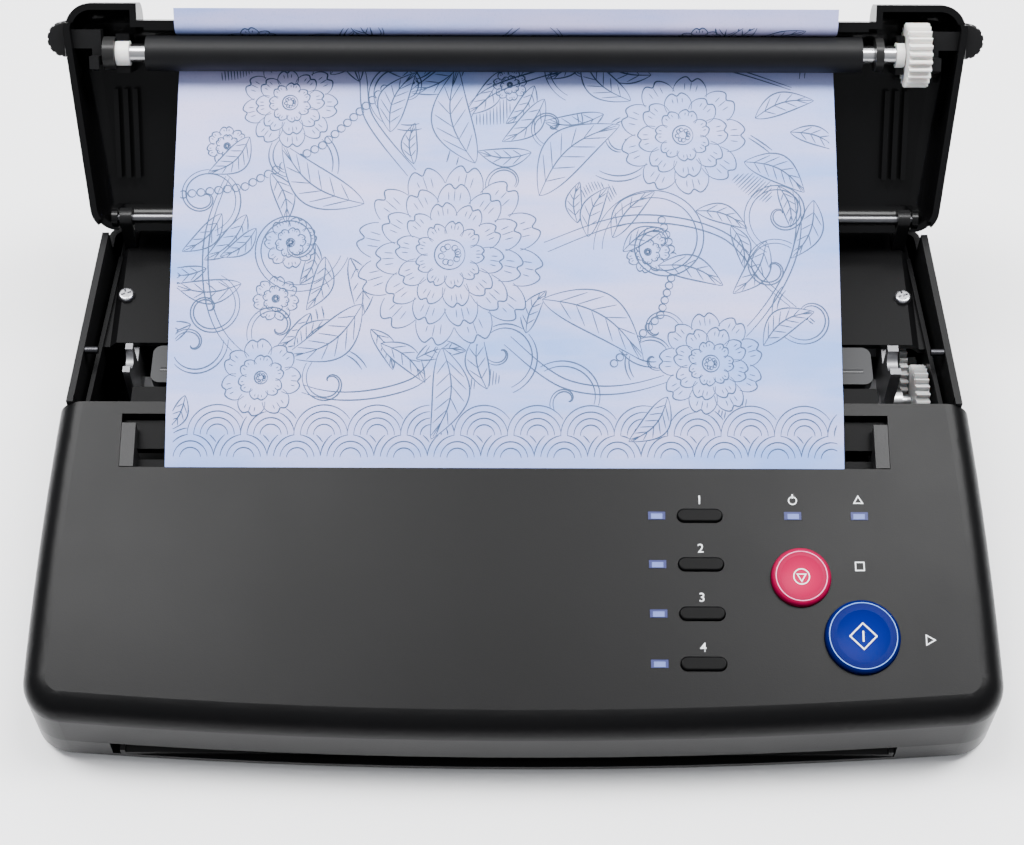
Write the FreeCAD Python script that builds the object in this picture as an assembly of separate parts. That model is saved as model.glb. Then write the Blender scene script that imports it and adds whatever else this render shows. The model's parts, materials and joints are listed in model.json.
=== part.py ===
"""Desktop stencil copier with a hinged rear lid, millimetres, +Z up, front towards -Y.

The pieces are drawn in a hinge frame: x = 0 is the middle of the machine, y = 0 is the lid's hinge
axis and z = 0 is the table. The lid's pieces are drawn in the lid's own frame, whose origin is the
hinge axis, with the lid lying level, and are then turned to where the lid rests, open. The last
lines move everything so that the origin is the middle of the whole thing's footprint.
"""

import FreeCAD, Part

import math
import os

from FreeCAD import Placement, Rotation, Vector

# Fits shared by all the pieces
overrun = 1.0
part_gap = 0.4
slide_gap = 0.15
running_gap = 0.06
seat_gap = 0.1

# Casing, seen from above
front_reach = 172.0
rear_reach = 6.0
front_half_width = 151.4
mid_inset = 5.1
mid_half_width = front_half_width - mid_inset
rim_front_inset = 8.1
rim_front_half_width = front_half_width - rim_front_inset
rim_rear_inset = 13.5
rim_rear_half_width = front_half_width - rim_rear_inset
front_bow = 6.3
side_bow = 1.0
casing_corner_radius = 13.0
rear_corner_radius = 5.0
cover_rear = 68.5
cover_step = 2.0

# Casing, seen from the side
foot_height = 3.0
casing_wall = 2.2
floor_thickness = 2.4
tray_height = 13.0
undercut = 1.0
cover_rear_height = 56.0
cover_front_height = 34.0
cover_front_tangent = 163.3
cover_edge_radius = 8.5
hinge_height = 64.0
deck_height = 52.0
rim_rear_height = 60.0
rear_wall_height = 51.5

# Paper path, off centre by this much
path_offset = -3.0
slot_side = 28.9
slot_width = 2 * (front_half_width - slot_side)
slot_bottom = 5.8
recess_side = 29.4
recess_width = 2 * (front_half_width - recess_side)
recess_back = 72.5
recess_front = 90.0
recess_back_depth = 4.0
throat_height = 4.6
sheet_side = 43.4
sheet_width = 2 * (front_half_width - sheet_side)
sheet_thickness = 0.3

# Lid
lid_travel_deg = 138.0
lid_closed_tilt_deg = 5.0
lid_length = 70.4
lid_rear = 4.2
lid_top = 12.0
lid_crown = 1.4
lid_end_top = 11.0
lid_side_drop = 5.0
lid_end_drop = 1.6
lid_end_lift = 6.2
lid_rear_drop = 1.0
lid_wall = 2.2
lid_rear_inset = 11.0
lid_rear_half_width = front_half_width - lid_rear_inset
lid_inset = 3.4
lid_front_half_width = front_half_width - lid_inset
lid_corner_radius = 8.6
lid_rear_corner_radius = 8.2
lid_edge_radius = 7.5
notch_side = 27.5
notch_width = 2 * (lid_front_half_width - notch_side)
notch_depth = 5.5
tab_clearance = 1.0
tab_depth = 5.7

# Platen and gears
platen_distance = 54.2
platen_radius = 5.8
platen_end_gap = 3.6
platen_length = notch_width - 2 * platen_end_gap
platen_gap = 0.2
shaft_radius = 3.0
gear_module = 0.8
pressure_angle_deg = 20.0
gear_backlash = 0.16
gear_inset = 23.8
gear_side = front_half_width - gear_inset
gear_width = 7.4
platen_teeth = 24
drive_teeth = 28
feed_idler_teeth = 42
feed_teeth = 24
small_teeth = 16
large_teeth = 36
pinion_teeth = 12
drive_angle_deg = 265.0


def deg(angle):
    return math.radians(angle)


def block(x0, x1, y0, y1, z0, z1):
    """Box between two corners."""
    return Part.makeBox(x1 - x0, y1 - y0, z1 - z0, Vector(x0, y0, z0))


def rod_x(x0, x1, y, z, radius):
    """Round bar along X."""
    return Part.makeCylinder(radius, x1 - x0, Vector(x0, y, z), Vector(1, 0, 0))


def rod_y(x, y0, y1, z, radius):
    """Round bar along Y."""
    return Part.makeCylinder(radius, y1 - y0, Vector(x, y0, z), Vector(0, 1, 0))


def rod_z(x, y, z0, z1, radius):
    """Round bar along Z."""
    return Part.makeCylinder(radius, z1 - z0, Vector(x, y, z0), Vector(0, 0, 1))


def side_prism(points, x0, x1):
    """Solid between x0 and x1 whose side view is the closed polygon of (y, z) points."""
    corners = [Vector(x0, y, z) for y, z in points]
    face = Part.Face(Part.makePolygon(corners + corners[:1]))
    return face.extrude(Vector(x1 - x0, 0, 0))


def plan_face(edges):
    return Part.Face(Part.Wire(Part.__sortEdges__(edges)))


def line(a, b):
    return Part.LineSegment(a, b).toShape()


def arc(a, b, c):
    return Part.Arc(a, b, c).toShape()


def joined(shapes):
    """One solid from pieces that touch or overlap."""
    whole = shapes[0].multiFuse(shapes[1:]) if len(shapes) > 1 else shapes[0]
    return whole.removeSplitter()


def upright_edges(shape):
    """The straight edges of a shape that run along Z."""
    found = []
    for edge in shape.Edges:
        if isinstance(edge.Curve, Part.Line) and abs(edge.tangentAt(edge.FirstParameter).z) > 0.999:
            found.append(edge)
    return found


def mirrored(shape):
    return shape.mirror(Vector(0, 0, 0), Vector(1, 0, 0))


def front_outline(inset, z0, z1):
    """Block under the front cover's plan outline: bowed front, slightly bowed sides, round corners."""
    rear_y = -cover_rear
    front_y = -front_reach + front_bow
    front_x = front_half_width - inset
    rear_x = mid_half_width - inset
    middle_y = (rear_y + front_y) / 2
    middle_x = (front_x + rear_x) / 2 + side_bow
    corners = [Vector(-rear_x, rear_y, z0), Vector(rear_x, rear_y, z0)]
    corners += [Vector(front_x, front_y + inset, z0), Vector(-front_x, front_y + inset, z0)]
    edges = [
        line(corners[0], corners[1]),
        arc(corners[1], Vector(middle_x, middle_y, z0), corners[2]),
        arc(corners[2], Vector(0, -front_reach + inset, z0), corners[3]),
        arc(corners[3], Vector(-middle_x, middle_y, z0), corners[0]),
    ]
    solid = plan_face(edges).extrude(Vector(0, 0, z1 - z0))
    front_edges = [e for e in upright_edges(solid) if e.CenterOfMass.y < middle_y]
    return solid.makeFillet(casing_corner_radius - inset, front_edges)


def rear_outline(inset, z0, z1, front_y, rear_inset=None):
    """Block under the rear body's plan outline, from front_y back to the rear wall."""
    back = inset if rear_inset is None else rear_inset
    slope = (rim_front_half_width - rim_rear_half_width) / cover_rear
    rear_y = rear_reach - back
    front_x = rim_rear_half_width - slope * front_y - inset
    rear_x = rim_rear_half_width - slope * rear_y - inset
    corners = [Vector(-rear_x, rear_y, z0), Vector(rear_x, rear_y, z0)]
    corners += [Vector(front_x, front_y, z0), Vector(-front_x, front_y, z0)]
    solid = Part.Face(Part.makePolygon(corners + corners[:1])).extrude(Vector(0, 0, z1 - z0))
    radius = max(rear_corner_radius - inset, rear_corner_radius / 4)
    rear_edges = [e for e in upright_edges(solid) if e.CenterOfMass.y > rear_y - radius]
    return solid.makeFillet(radius, rear_edges)


cover_slope = (cover_rear_height - cover_front_height) / (cover_front_tangent - cover_rear)


def cover_z(y):
    """Height of the cover's sloping top at y."""
    return cover_rear_height + cover_slope * (y + cover_rear)


parts = {}

# Base casing: one moulding, a shallow tray in front and a deeper body with walls behind

screw_post_radius = 4.0
screw_radius = 1.4
screw_head_radius = 2.8
screw_head_height = 1.7
screw_length = 8.0
screw_post_shares = ((-0.9, 0.9), (0.9, 0.9), (-0.9, 0.74), (0.9, 0.74))
post_bore_radius = 1.3
screw_spots = [(x_share * mid_half_width, -y_share * front_reach) for x_share, y_share in screw_post_shares]
rib_thickness = 1.6
floor_top = foot_height + floor_thickness
vent_count = 7
vent_length = 26.0
vent_width = 3.0
vent_pitch = 7.0
hinge_post_thickness = 4.0
hinge_post_inset = 23.8
hinge_post_x = front_half_width - hinge_post_inset
hinge_post_radius = 3.2
hinge_rod_radius = 1.5
foot_radius = 7.0
foot_recess = 1.0
foot_side = 33.4
foot_inset_x = front_half_width - foot_side
foot_front = 150.0
foot_rear = 8.0
inlet_side = 56.4
inlet_x = inlet_side - front_half_width
inlet_radius = 4.2
inlet_height = 22.0
switch_spacing = 33.0
switch_x = inlet_x + switch_spacing
switch_width = 19.0
switch_height = 12.0


def base_undercut(solid):
    """Leans the foot of the walls inwards, all round the bottom edge."""
    edges = [e for e in solid.Edges if abs(e.CenterOfMass.z - foot_height) < undercut / 100]
    return solid.makeChamfer(undercut, edges)


def side_rim_profile(inset):
    """Side view of the rear body, with its rim falling towards the front cover."""
    front = -cover_rear - cover_step
    return [
        (front, foot_height - overrun),
        (rear_reach + overrun, foot_height - overrun),
        (rear_reach + overrun, rear_wall_height - inset),
        (-hinge_post_radius, rear_wall_height - inset),
        (-hinge_post_radius, rim_rear_height - inset),
        (front, cover_rear_height - inset),
    ]


def make_base_casing():
    tray = front_outline(0, foot_height, tray_height)
    body = rear_outline(0, foot_height, rim_rear_height, -cover_rear - cover_step)
    body = body.common(side_prism(side_rim_profile(0), -front_half_width, front_half_width))
    solid = base_undercut(tray.fuse(body).removeSplitter())
    tray_inside = front_outline(casing_wall, floor_top, tray_height + overrun)
    body_inside = rear_outline(casing_wall, floor_top, rim_rear_height + overrun, -cover_rear - cover_step)
    joint = block(-rim_front_half_width + casing_wall, rim_front_half_width - casing_wall,
                  -cover_rear - casing_corner_radius, -cover_rear + casing_wall,
                  floor_top, rim_rear_height + overrun)
    solid = solid.cut(tray_inside.fuse([body_inside, joint]))
    side_front = block(-front_half_width, front_half_width, -cover_rear - cover_step - overrun,
                       -cover_rear, tray_height, rim_rear_height)
    solid = solid.cut(side_front)
    slot = block(path_offset - slot_width / 2, path_offset + slot_width / 2,
                 -front_reach - overrun, -front_reach + front_bow + casing_wall * 2,
                 slot_bottom, tray_height + overrun)
    solid = solid.cut(slot)
    posts = []
    for x, y in screw_spots:
        posts.append(rod_z(x, y, floor_top, tray_height, screw_post_radius))
    for side in (-1, 1):
        x0 = side * (hinge_post_x + hinge_post_thickness / 2) - hinge_post_thickness / 2
        cheek = side_prism(
            [(-hinge_post_radius, rear_wall_height - hinge_post_radius * 2),
             (rear_reach - casing_wall, rear_wall_height - hinge_post_radius * 2),
             (rear_reach - casing_wall, rear_wall_height), (hinge_rod_radius, rear_wall_height),
             (hinge_rod_radius, hinge_height), (-hinge_post_radius, hinge_height)],
            x0, x0 + hinge_post_thickness)
        knuckle = rod_x(x0, x0 + hinge_post_thickness, 0, hinge_height, hinge_post_radius)
        posts += [cheek, knuckle]
    solid = solid.multiFuse(posts).removeSplitter()
    cuts = [rod_x(-mid_half_width, mid_half_width, 0, hinge_height, hinge_rod_radius + running_gap)]
    for x, y in screw_spots:
        cuts.append(rod_z(x, y, foot_height - overrun, tray_height + overrun, post_bore_radius))
        cuts.append(rod_z(x, y, foot_height - overrun, foot_height + screw_head_height + seat_gap,
                          screw_head_radius + slide_gap))
    for x in (-foot_inset_x, foot_inset_x):
        for y in (-foot_front, -foot_rear):
            cuts.append(rod_z(x, y, foot_height - overrun, foot_height + foot_recess, foot_radius + slide_gap))
    first_vent = -(vent_count - 1) * vent_pitch / 2
    for n in range(vent_count):
        x = first_vent + n * vent_pitch
        cuts.append(block(x - vent_width / 2, x + vent_width / 2, -front_reach / 2,
                          -front_reach / 2 + vent_length, foot_height - overrun, floor_top + overrun))
    back_y = rear_reach - casing_wall - overrun
    cuts.append(rod_y(inlet_x, back_y, rear_reach + overrun, inlet_height, inlet_radius + slide_gap))
    cuts.append(block(switch_x - switch_width / 2 - slide_gap, switch_x + switch_width / 2 + slide_gap, back_y,
                      rear_reach + overrun, inlet_height - switch_height / 2 - slide_gap,
                      inlet_height + switch_height / 2 + slide_gap))
    return solid.cut(Part.makeCompound(cuts))


parts["base_casing"] = make_base_casing()

# Front cover: moulded shell with the sloping control panel and the document recess

key_inset = 93.1
key_x = front_half_width - key_inset
key_first = 105.2
key_pitch = 15.4
key_length = 14.2
key_width = 4.4
key_rise = 1.0
lamp_x = 44.8
lamp_length = 5.4
lamp_width = 2.6
status_lamp_insets = (64.0, 43.1)
status_lamp_xs = [front_half_width - inset for inset in status_lamp_insets]
stop_inset = 62.3
stop_x = front_half_width - stop_inset
stop_row_share = 1.27
stop_radius = 9.3
copy_inset = 44.2
copy_x = front_half_width - copy_inset
copy_row_share = 2.47
copy_radius = 11.6
guide_width = 4.4
guide_height = 8.0
guide_travel = 8.5
guide_stem = 3.0
guide_back = 75.5
lip_height = 5.0
mode_count = 4
cover_rib_shares = (-0.62, -0.2, 0.2)
cover_boss_bore = 8.0


def panel_rotation():
    return Rotation(Vector(1, 0, 0), math.degrees(math.atan(cover_slope)))


def on_panel(shape, x, y):
    """Places a shape drawn about the origin on the sloping panel, its Z square to the panel."""
    shape = shape.copy()
    shape.Placement = Placement(Vector(x, y, cover_z(y)), panel_rotation())
    return shape


def pill(length, width, bottom, top):
    """Stadium-shaped button or hole about the origin, long side along X."""
    half = (length - width) / 2
    middle = block(-half, half, -width / 2, width / 2, bottom, top)
    ends = [rod_z(x, 0, bottom, top, width / 2) for x in (-half, half)]
    return joined([middle] + ends)


def key_places():
    """Panel places of the four mode keys, front key last."""
    return [(key_x, -(key_first + n * key_pitch)) for n in range(mode_count)]


stop_y = -(key_first + stop_row_share * key_pitch)
copy_y = -(key_first + copy_row_share * key_pitch)
lamp_places = [(lamp_x, y) for x, y in key_places()]
lamp_places += [(x, -key_first) for x in status_lamp_xs]


def cover_form(inset, bottom):
    """Rounded block that the cover's outside and inside are both made from."""
    front = -front_reach + inset
    top_front = (cover_front_height - cover_slope * (front_reach - cover_front_tangent)
                 - inset * math.hypot(1, cover_slope) + inset * cover_slope)
    top_rear = cover_rear_height - inset * math.hypot(1, cover_slope)
    rear = -cover_rear
    profile = [(front - overrun, bottom), (rear, bottom), (rear, top_rear), (front - overrun,
               top_front - overrun * cover_slope)]
    prism = side_prism(profile, -front_half_width - overrun, front_half_width + overrun)
    solid = front_outline(inset, bottom, cover_rear_height + overrun).common(prism)
    top_edges = []
    for edge in solid.Edges:
        middle = edge.valueAt((edge.FirstParameter + edge.LastParameter) / 2)
        on_top = abs(middle.z - (top_rear + cover_slope * (middle.y - rear))) < slide_gap
        at_rear = abs(middle.y - rear) < slide_gap
        if on_top and not at_rear:
            top_edges.append(edge)
    return solid.makeFillet(cover_edge_radius - inset, top_edges)


recess_left = path_offset - recess_width / 2
recess_right = path_offset + recess_width / 2
recess_rear_floor = cover_z(-recess_back) - recess_back_depth
throat_top = cover_z(-recess_front) - casing_wall
recess_front_floor = throat_top - throat_height
throat_reach = recess_front + casing_wall * 3


def recess_profile(inset):
    """Side view of the document recess and the throat in front of it, grown by inset."""
    floor_slope = (recess_rear_floor - recess_front_floor) / (recess_front - recess_back)
    throat_floor = recess_front_floor - floor_slope * (throat_reach - recess_front)
    top = cover_rear_height + overrun
    return [
        (-recess_back + inset, recess_rear_floor - inset),
        (-recess_back + inset, top),
        (-recess_front - inset, top),
        (-recess_front - inset, throat_top + inset),
        (-throat_reach, throat_top + inset),
        (-throat_reach, throat_floor - inset),
    ]


def make_front_cover():
    outside = cover_form(0, tray_height)
    inside = cover_form(casing_wall, tray_height - overrun)
    solid = outside.cut(inside)
    lip = side_prism(
        [(-cover_rear, cover_rear_height - lip_height), (-cover_rear, cover_z(-cover_rear)),
         (-recess_back + slide_gap, cover_z(-recess_back)),
         (-recess_back + slide_gap, cover_rear_height - lip_height)],
        -mid_half_width, mid_half_width).common(outside)
    tab_left = path_offset - (notch_width / 2 - tab_clearance)
    tab_right = path_offset + (notch_width / 2 - tab_clearance)
    tab_rear = -cover_rear + tab_depth
    tab = side_prism(
        [(-cover_rear, cover_z(-cover_rear) - casing_wall), (tab_rear, cover_rear_height - casing_wall),
         (tab_rear, cover_rear_height), (-cover_rear, cover_rear_height)], tab_left, tab_right)
    tray = side_prism(recess_profile(casing_wall), recess_left - casing_wall, recess_right + casing_wall)
    tray = tray.common(cover_form(0, tray_height))
    ribs = []
    rib_rear = -throat_reach - lip_height * 2
    for share in cover_rib_shares:
        x = share * front_half_width
        rib = side_prism(
            [(rib_rear, cover_z(rib_rear) - casing_wall - lip_height), (rib_rear, cover_rear_height),
             (-front_reach + casing_wall, cover_rear_height),
             (-front_reach + casing_wall, cover_front_height - lip_height * 2)],
            x - rib_thickness / 2, x + rib_thickness / 2)
        ribs.append(rib.common(cover_form(casing_wall / 2, tray_height)))
    cuts = [side_prism(recess_profile(0), recess_left, recess_right)]
    for x, y in screw_spots:
        boss = rod_z(x, y, tray_height, cover_rear_height, screw_post_radius)
        ribs.append(boss.common(cover_form(casing_wall / 2, tray_height)))
        cuts.append(rod_z(x, y, tray_height - overrun, tray_height + cover_boss_bore, post_bore_radius))
    solid = solid.multiFuse([lip, tab, tray] + ribs).removeSplitter()
    deep = casing_wall * 2
    for x, y in key_places():
        cuts.append(on_panel(pill(key_length + slide_gap * 2, key_width + slide_gap * 2, -deep, overrun), x, y))
    for x, y in lamp_places:
        cuts.append(on_panel(block(-lamp_length / 2, lamp_length / 2, -lamp_width / 2, lamp_width / 2,
                                   -deep, overrun), x, y))
    cuts.append(on_panel(rod_z(0, 0, -deep, overrun, stop_radius + slide_gap), stop_x, stop_y))
    cuts.append(on_panel(rod_z(0, 0, -deep, overrun, copy_radius + slide_gap), copy_x, copy_y))
    stem_y = (-guide_back - recess_front) / 2
    for side in (-1, 1):
        outer = recess_right if side > 0 else recess_left
        inner = outer - side * (guide_travel + guide_width + slide_gap * 2)
        cuts.append(block(min(inner, outer), max(inner, outer), stem_y - guide_stem / 2 - slide_gap,
                          stem_y + guide_stem / 2 + slide_gap, tray_height, cover_rear_height))
    return solid.cut(Part.makeCompound(cuts))


parts["front_cover"] = make_front_cover()

# Gears: one module throughout, teeth with true involute flanks

pressure_angle = deg(pressure_angle_deg)
tooth_root_share = 1.25
centre_slack = 0.12


def involute(angle):
    return math.tan(angle) - angle


def pitch_radius(teeth):
    return gear_module * teeth / 2


def centre_distance(teeth_a, teeth_b):
    """Distance between two meshing gears' centres, with room for the teeth to run."""
    return pitch_radius(teeth_a) + pitch_radius(teeth_b) + centre_slack


def polar(radius, angle, x):
    return Vector(x, radius * math.cos(angle), radius * math.sin(angle))


def toothed_wheel(teeth, x0, x1, phase):
    """Spur gear about the X axis; phase is the angle of one tooth's middle."""
    radius = pitch_radius(teeth)
    base = radius * math.cos(pressure_angle)
    tip = radius + gear_module
    root = radius - tooth_root_share * gear_module
    half_pitch = math.pi / (2 * teeth) - gear_backlash / (4 * radius)

    def half_angle(r):
        turned = math.acos(min(1.0, base / r))
        return half_pitch + involute(pressure_angle) - involute(turned)

    flank_radii = [max(base, root), (max(base, root) + tip) / 2, tip]
    edges = []
    pitch_angle = 2 * math.pi / teeth
    for n in range(teeth):
        middle = phase + n * pitch_angle
        up = [polar(r, middle - half_angle(r), x0) for r in flank_radii]
        down = [polar(r, middle + half_angle(r), x0) for r in reversed(flank_radii)]
        foot_up = polar(root, middle - half_angle(flank_radii[0]), x0)
        foot_down = polar(root, middle + half_angle(flank_radii[0]), x0)
        next_foot = polar(root, middle + pitch_angle - half_angle(flank_radii[0]), x0)
        if base > root:
            edges.append(line(foot_up, up[0]))
        edges += [arc(*up), line(up[2], down[0]), arc(*down)]
        if base > root:
            edges.append(line(down[2], foot_down))
        edges.append(line(foot_down, next_foot))
    face = Part.Face(Part.Wire(edges))
    return face.extrude(Vector(x1 - x0, 0, 0))


def at_centre(shape, centre):
    shape = shape.copy()
    shape.translate(Vector(0, centre[0], centre[1]))
    return shape


def step_from(centre, distance, angle_deg):
    """A point at a distance from a centre, in the side view."""
    return (centre[0] + distance * math.cos(deg(angle_deg)), centre[1] + distance * math.sin(deg(angle_deg)))


def mesh_phase(centre_a, teeth_a, phase_a, centre_b, teeth_b):
    """Phase that puts gear b's gaps over gear a's teeth on the line between their centres."""
    towards = math.atan2(centre_b[1] - centre_a[1], centre_b[0] - centre_a[0])
    share_a = (towards - phase_a) * teeth_a / (2 * math.pi)
    return towards + math.pi - (0.5 - share_a) * 2 * math.pi / teeth_b


tilt = deg(lid_closed_tilt_deg)
platen_closed = (-platen_distance * math.cos(tilt), hinge_height - platen_distance * math.sin(tilt))
drive_centre = step_from(platen_closed, centre_distance(platen_teeth, drive_teeth), drive_angle_deg)
compound_angle_deg = -30.0
motor_angle_deg = -10.0
compound_centre = step_from(drive_centre, centre_distance(small_teeth, drive_teeth), compound_angle_deg)
motor_centre = step_from(compound_centre, centre_distance(pinion_teeth, large_teeth), motor_angle_deg)
idler_angle_deg = 196.0
feed_angle_deg = 190.0
idler_centre = step_from(drive_centre, centre_distance(drive_teeth, feed_idler_teeth), idler_angle_deg)
feed_centre = step_from(idler_centre, centre_distance(feed_idler_teeth, feed_teeth), feed_angle_deg)

platen_phase = 0.0
drive_phase = mesh_phase(platen_closed, platen_teeth, platen_phase, drive_centre, drive_teeth)
small_phase = mesh_phase(drive_centre, drive_teeth, drive_phase, compound_centre, small_teeth)
idler_phase = mesh_phase(drive_centre, drive_teeth, drive_phase, idler_centre, feed_idler_teeth)
feed_phase = mesh_phase(idler_centre, feed_idler_teeth, idler_phase, feed_centre, feed_teeth)
large_phase = 0.0
pinion_phase = mesh_phase(compound_centre, large_teeth, large_phase, motor_centre, pinion_teeth)

# Side frames: two upright plates that carry the rollers, the head and the gears

frame_left_inset = 25.8
frame_left = frame_left_inset - front_half_width
frame_left_thickness = 2.3
frame_right_inset = 30.8
frame_right = front_half_width - frame_right_inset
frame_right_thickness = 3.4
frame_rear = -8.0
frame_front_margin = 9.0
ear_half_width = 5.6
ear_rise = 0.4
frame_low_height = 34.0
feed_lug_height = 39.0
pinch_radius = 2.6
pinch_shaft_radius = 1.5
saddle_gap = 0.35
gear_pin_radius = 2.0
pin_shoulder_radius = 2.2
clip_thickness = 0.8
clip_radius = 3.6
feed_roller_radius = 6.0
feed_shaft_radius = 3.0
bush_wall = 1.2
bush_flange = 0.8
deck_thickness = 2.2
pinch_centre = (feed_centre[0], feed_centre[1] + feed_roller_radius + sheet_thickness + pinch_radius)
frame_foot_width = 7.0
large_width = 2.5
fine_gear_side = gear_side + large_width + part_gap
fine_gear_width = 4.4
idler_width = 4.0


def frame_plate(x0, x1, foot_x0, foot_x1):
    """Side plate with a saddle ear for the platen's shaft and a foot flange on the floor."""
    under_deck = deck_height - deck_thickness - part_gap
    ear_top = platen_closed[1] + ear_rise
    ear_front = platen_closed[0] - ear_half_width
    ear_rear = platen_closed[0] + ear_half_width
    front = feed_centre[0] - frame_front_margin
    outline = [
        (frame_rear, floor_top), (frame_rear, under_deck), (ear_rear, under_deck),
        (ear_rear, ear_top), (ear_front, ear_top), (ear_front, frame_low_height),
        (front + frame_front_margin * 2, frame_low_height), (front + frame_front_margin * 2, feed_lug_height),
        (front, feed_lug_height), (front, floor_top),
    ]
    plate = side_prism(outline, x0, x1)
    foot = block(foot_x0, foot_x1, front, frame_rear, floor_top, floor_top + rib_thickness)
    plate = joined([plate, foot])
    saddle = shaft_radius + saddle_gap
    cuts = [rod_x(x0 - overrun, x1 + overrun, platen_closed[0], platen_closed[1], saddle)]
    cuts.append(block(x0 - overrun, x1 + overrun, platen_closed[0] - saddle, platen_closed[0] + saddle,
                      platen_closed[1], ear_top + overrun))
    cuts.append(rod_x(x0 - overrun, x1 + overrun, feed_centre[0], feed_centre[1],
                      feed_shaft_radius + bush_wall + running_gap))
    cuts.append(rod_x(x0 - overrun, x1 + overrun, pinch_centre[0], pinch_centre[1],
                      pinch_shaft_radius + running_gap))
    return plate.cut(Part.makeCompound(cuts))


frame_left_inner = frame_left + frame_left_thickness
frame_right_outer = frame_right + frame_right_thickness
parts["side_frame_left"] = frame_plate(frame_left, frame_left_inner, frame_left_inner,
                                       frame_left_inner + frame_foot_width)
right_frame = frame_plate(frame_right, frame_right_outer, frame_right - frame_foot_width, frame_right)
motor_boss_radius = 6.0
right_frame = right_frame.cut(rod_x(frame_right - overrun, frame_right_outer + overrun,
                                    motor_centre[0], motor_centre[1], motor_boss_radius + part_gap))
pin_holes = [rod_x(frame_right - overrun, frame_right_outer + overrun, c[0], c[1], gear_pin_radius)
             for c in (drive_centre, compound_centre, idler_centre)]
parts["side_frame_right"] = right_frame.cut(Part.makeCompound(pin_holes))

# Gear pins: three studs riveted into the right frame, with a clip groove's shoulder at the end
pin_spots = ((drive_centre, fine_gear_side + fine_gear_width), (compound_centre, fine_gear_side + fine_gear_width),
             (idler_centre, fine_gear_side + idler_width))
studs = []
clips = []
for centre, end in pin_spots:
    tail = end + slide_gap + clip_thickness * 2
    stud = rod_x(frame_right, tail, centre[0], centre[1], gear_pin_radius)
    collar = rod_x(frame_right_outer, gear_side - slide_gap, centre[0], centre[1], gear_pin_radius * 2)
    stud = joined([stud, collar])
    if centre is not compound_centre:
        shoulder = rod_x(gear_side - slide_gap, fine_gear_side - slide_gap, centre[0], centre[1], pin_shoulder_radius)
        stud = joined([stud, shoulder])
    studs.append(stud)
    ring = rod_x(end + slide_gap, end + slide_gap + clip_thickness, centre[0], centre[1], clip_radius)
    ring = ring.cut(rod_x(end, tail + overrun, centre[0], centre[1], gear_pin_radius))
    mouth = block(end, tail + overrun, centre[0] - gear_pin_radius * 0.7, centre[0] + gear_pin_radius * 0.7,
                  centre[1] - clip_radius * 2, centre[1])
    clips.append(ring.cut(mouth))
parts["gear_pins"] = Part.makeCompound(studs)
parts["gear_clips"] = Part.makeCompound(clips)


def bored_gear(teeth, x0, x1, phase, centre, bore, web=True):
    """Moulded gear on its centre, with a bore and, on a wide wheel, a thinner web."""
    wheel = toothed_wheel(teeth, x0, x1, phase)
    rim = pitch_radius(teeth) - gear_module * 3
    hub = bore + gear_module * 2.5
    if web and rim > hub + gear_module * 2:
        ring = rod_x(x0 + (x1 - x0) * 0.6, x1 + overrun, 0, 0, rim)
        wheel = wheel.cut(ring.cut(rod_x(x0, x1 + overrun * 2, 0, 0, hub)))
    wheel = wheel.cut(rod_x(x0 - overrun, x1 + overrun, 0, 0, bore))
    return at_centre(wheel, centre)


gear_bore = gear_pin_radius + running_gap
parts["drive_gear"] = bored_gear(drive_teeth, fine_gear_side, fine_gear_side + fine_gear_width, drive_phase,
                                 drive_centre, gear_bore)
large = toothed_wheel(large_teeth, gear_side, gear_side + large_width, large_phase)
hub_step = rod_x(gear_side + large_width, fine_gear_side, 0, 0, pitch_radius(small_teeth) - gear_module * 1.5)
small = toothed_wheel(small_teeth, fine_gear_side, fine_gear_side + fine_gear_width, small_phase)
compound = joined([large, hub_step, small])
compound = compound.cut(rod_x(gear_side - overrun, fine_gear_side + fine_gear_width + overrun, 0, 0, gear_bore))
parts["reduction_gear"] = at_centre(compound, compound_centre)
parts["feed_idler_gear"] = bored_gear(feed_idler_teeth, fine_gear_side, fine_gear_side + idler_width,
                                      idler_phase, idler_centre, gear_bore)

# Deck plate: the dark moulded floor behind the print head, with a lower channel along each side

deck_front = 42.7
deck_channel_inset = 20.9
deck_channel_x = front_half_width - deck_channel_inset
deck_channel_drop = 2.5
deck_groove = 2.6
deck_screw_inset = 22.4
deck_screw_x = front_half_width - deck_screw_inset
deck_screw_y = 23.8
pocket_wall = 1.4
pocket_depth = 7.0


def front_prism(points, y0, y1):
    """Solid between y0 and y1 whose front view is the closed polygon of (x, z) points."""
    corners = [Vector(x, y0, z) for x, z in points]
    face = Part.Face(Part.makePolygon(corners + corners[:1]))
    return face.extrude(Vector(0, y1 - y0, 0))


def deck_cutters():
    """Room for the two hinge posts, and the two screw holes."""
    low = deck_height - deck_channel_drop - pocket_depth
    cuts = []
    for side in (-1, 1):
        x0 = side * (hinge_post_x + hinge_post_thickness / 2) - hinge_post_thickness / 2
        cuts.append(block(x0 - part_gap, x0 + hinge_post_thickness + part_gap, -hinge_post_radius - part_gap,
                          rear_reach, low, hinge_height))
        cuts.append(rod_z(side * deck_screw_x, -deck_screw_y, low, hinge_height, screw_radius + slide_gap))
    return Part.makeCompound(cuts)


def make_deck():
    low = deck_height - deck_channel_drop
    edge_x = rim_front_half_width
    bevel_x = deck_channel_x + deck_channel_drop
    upper = [(-edge_x, low), (-bevel_x, low), (-deck_channel_x, deck_height), (deck_channel_x, deck_height),
             (bevel_x, low), (edge_x, low)]
    lower = [(x, z - deck_thickness) for x, z in reversed(upper)]
    rear = rear_reach - casing_wall - seat_gap
    plate = front_prism(upper + lower, -deck_front, rear)
    plate = plate.common(rear_outline(casing_wall + deck_groove, 0, hinge_height, -cover_rear, casing_wall + seat_gap))
    return plate.cut(deck_cutters())


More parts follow.
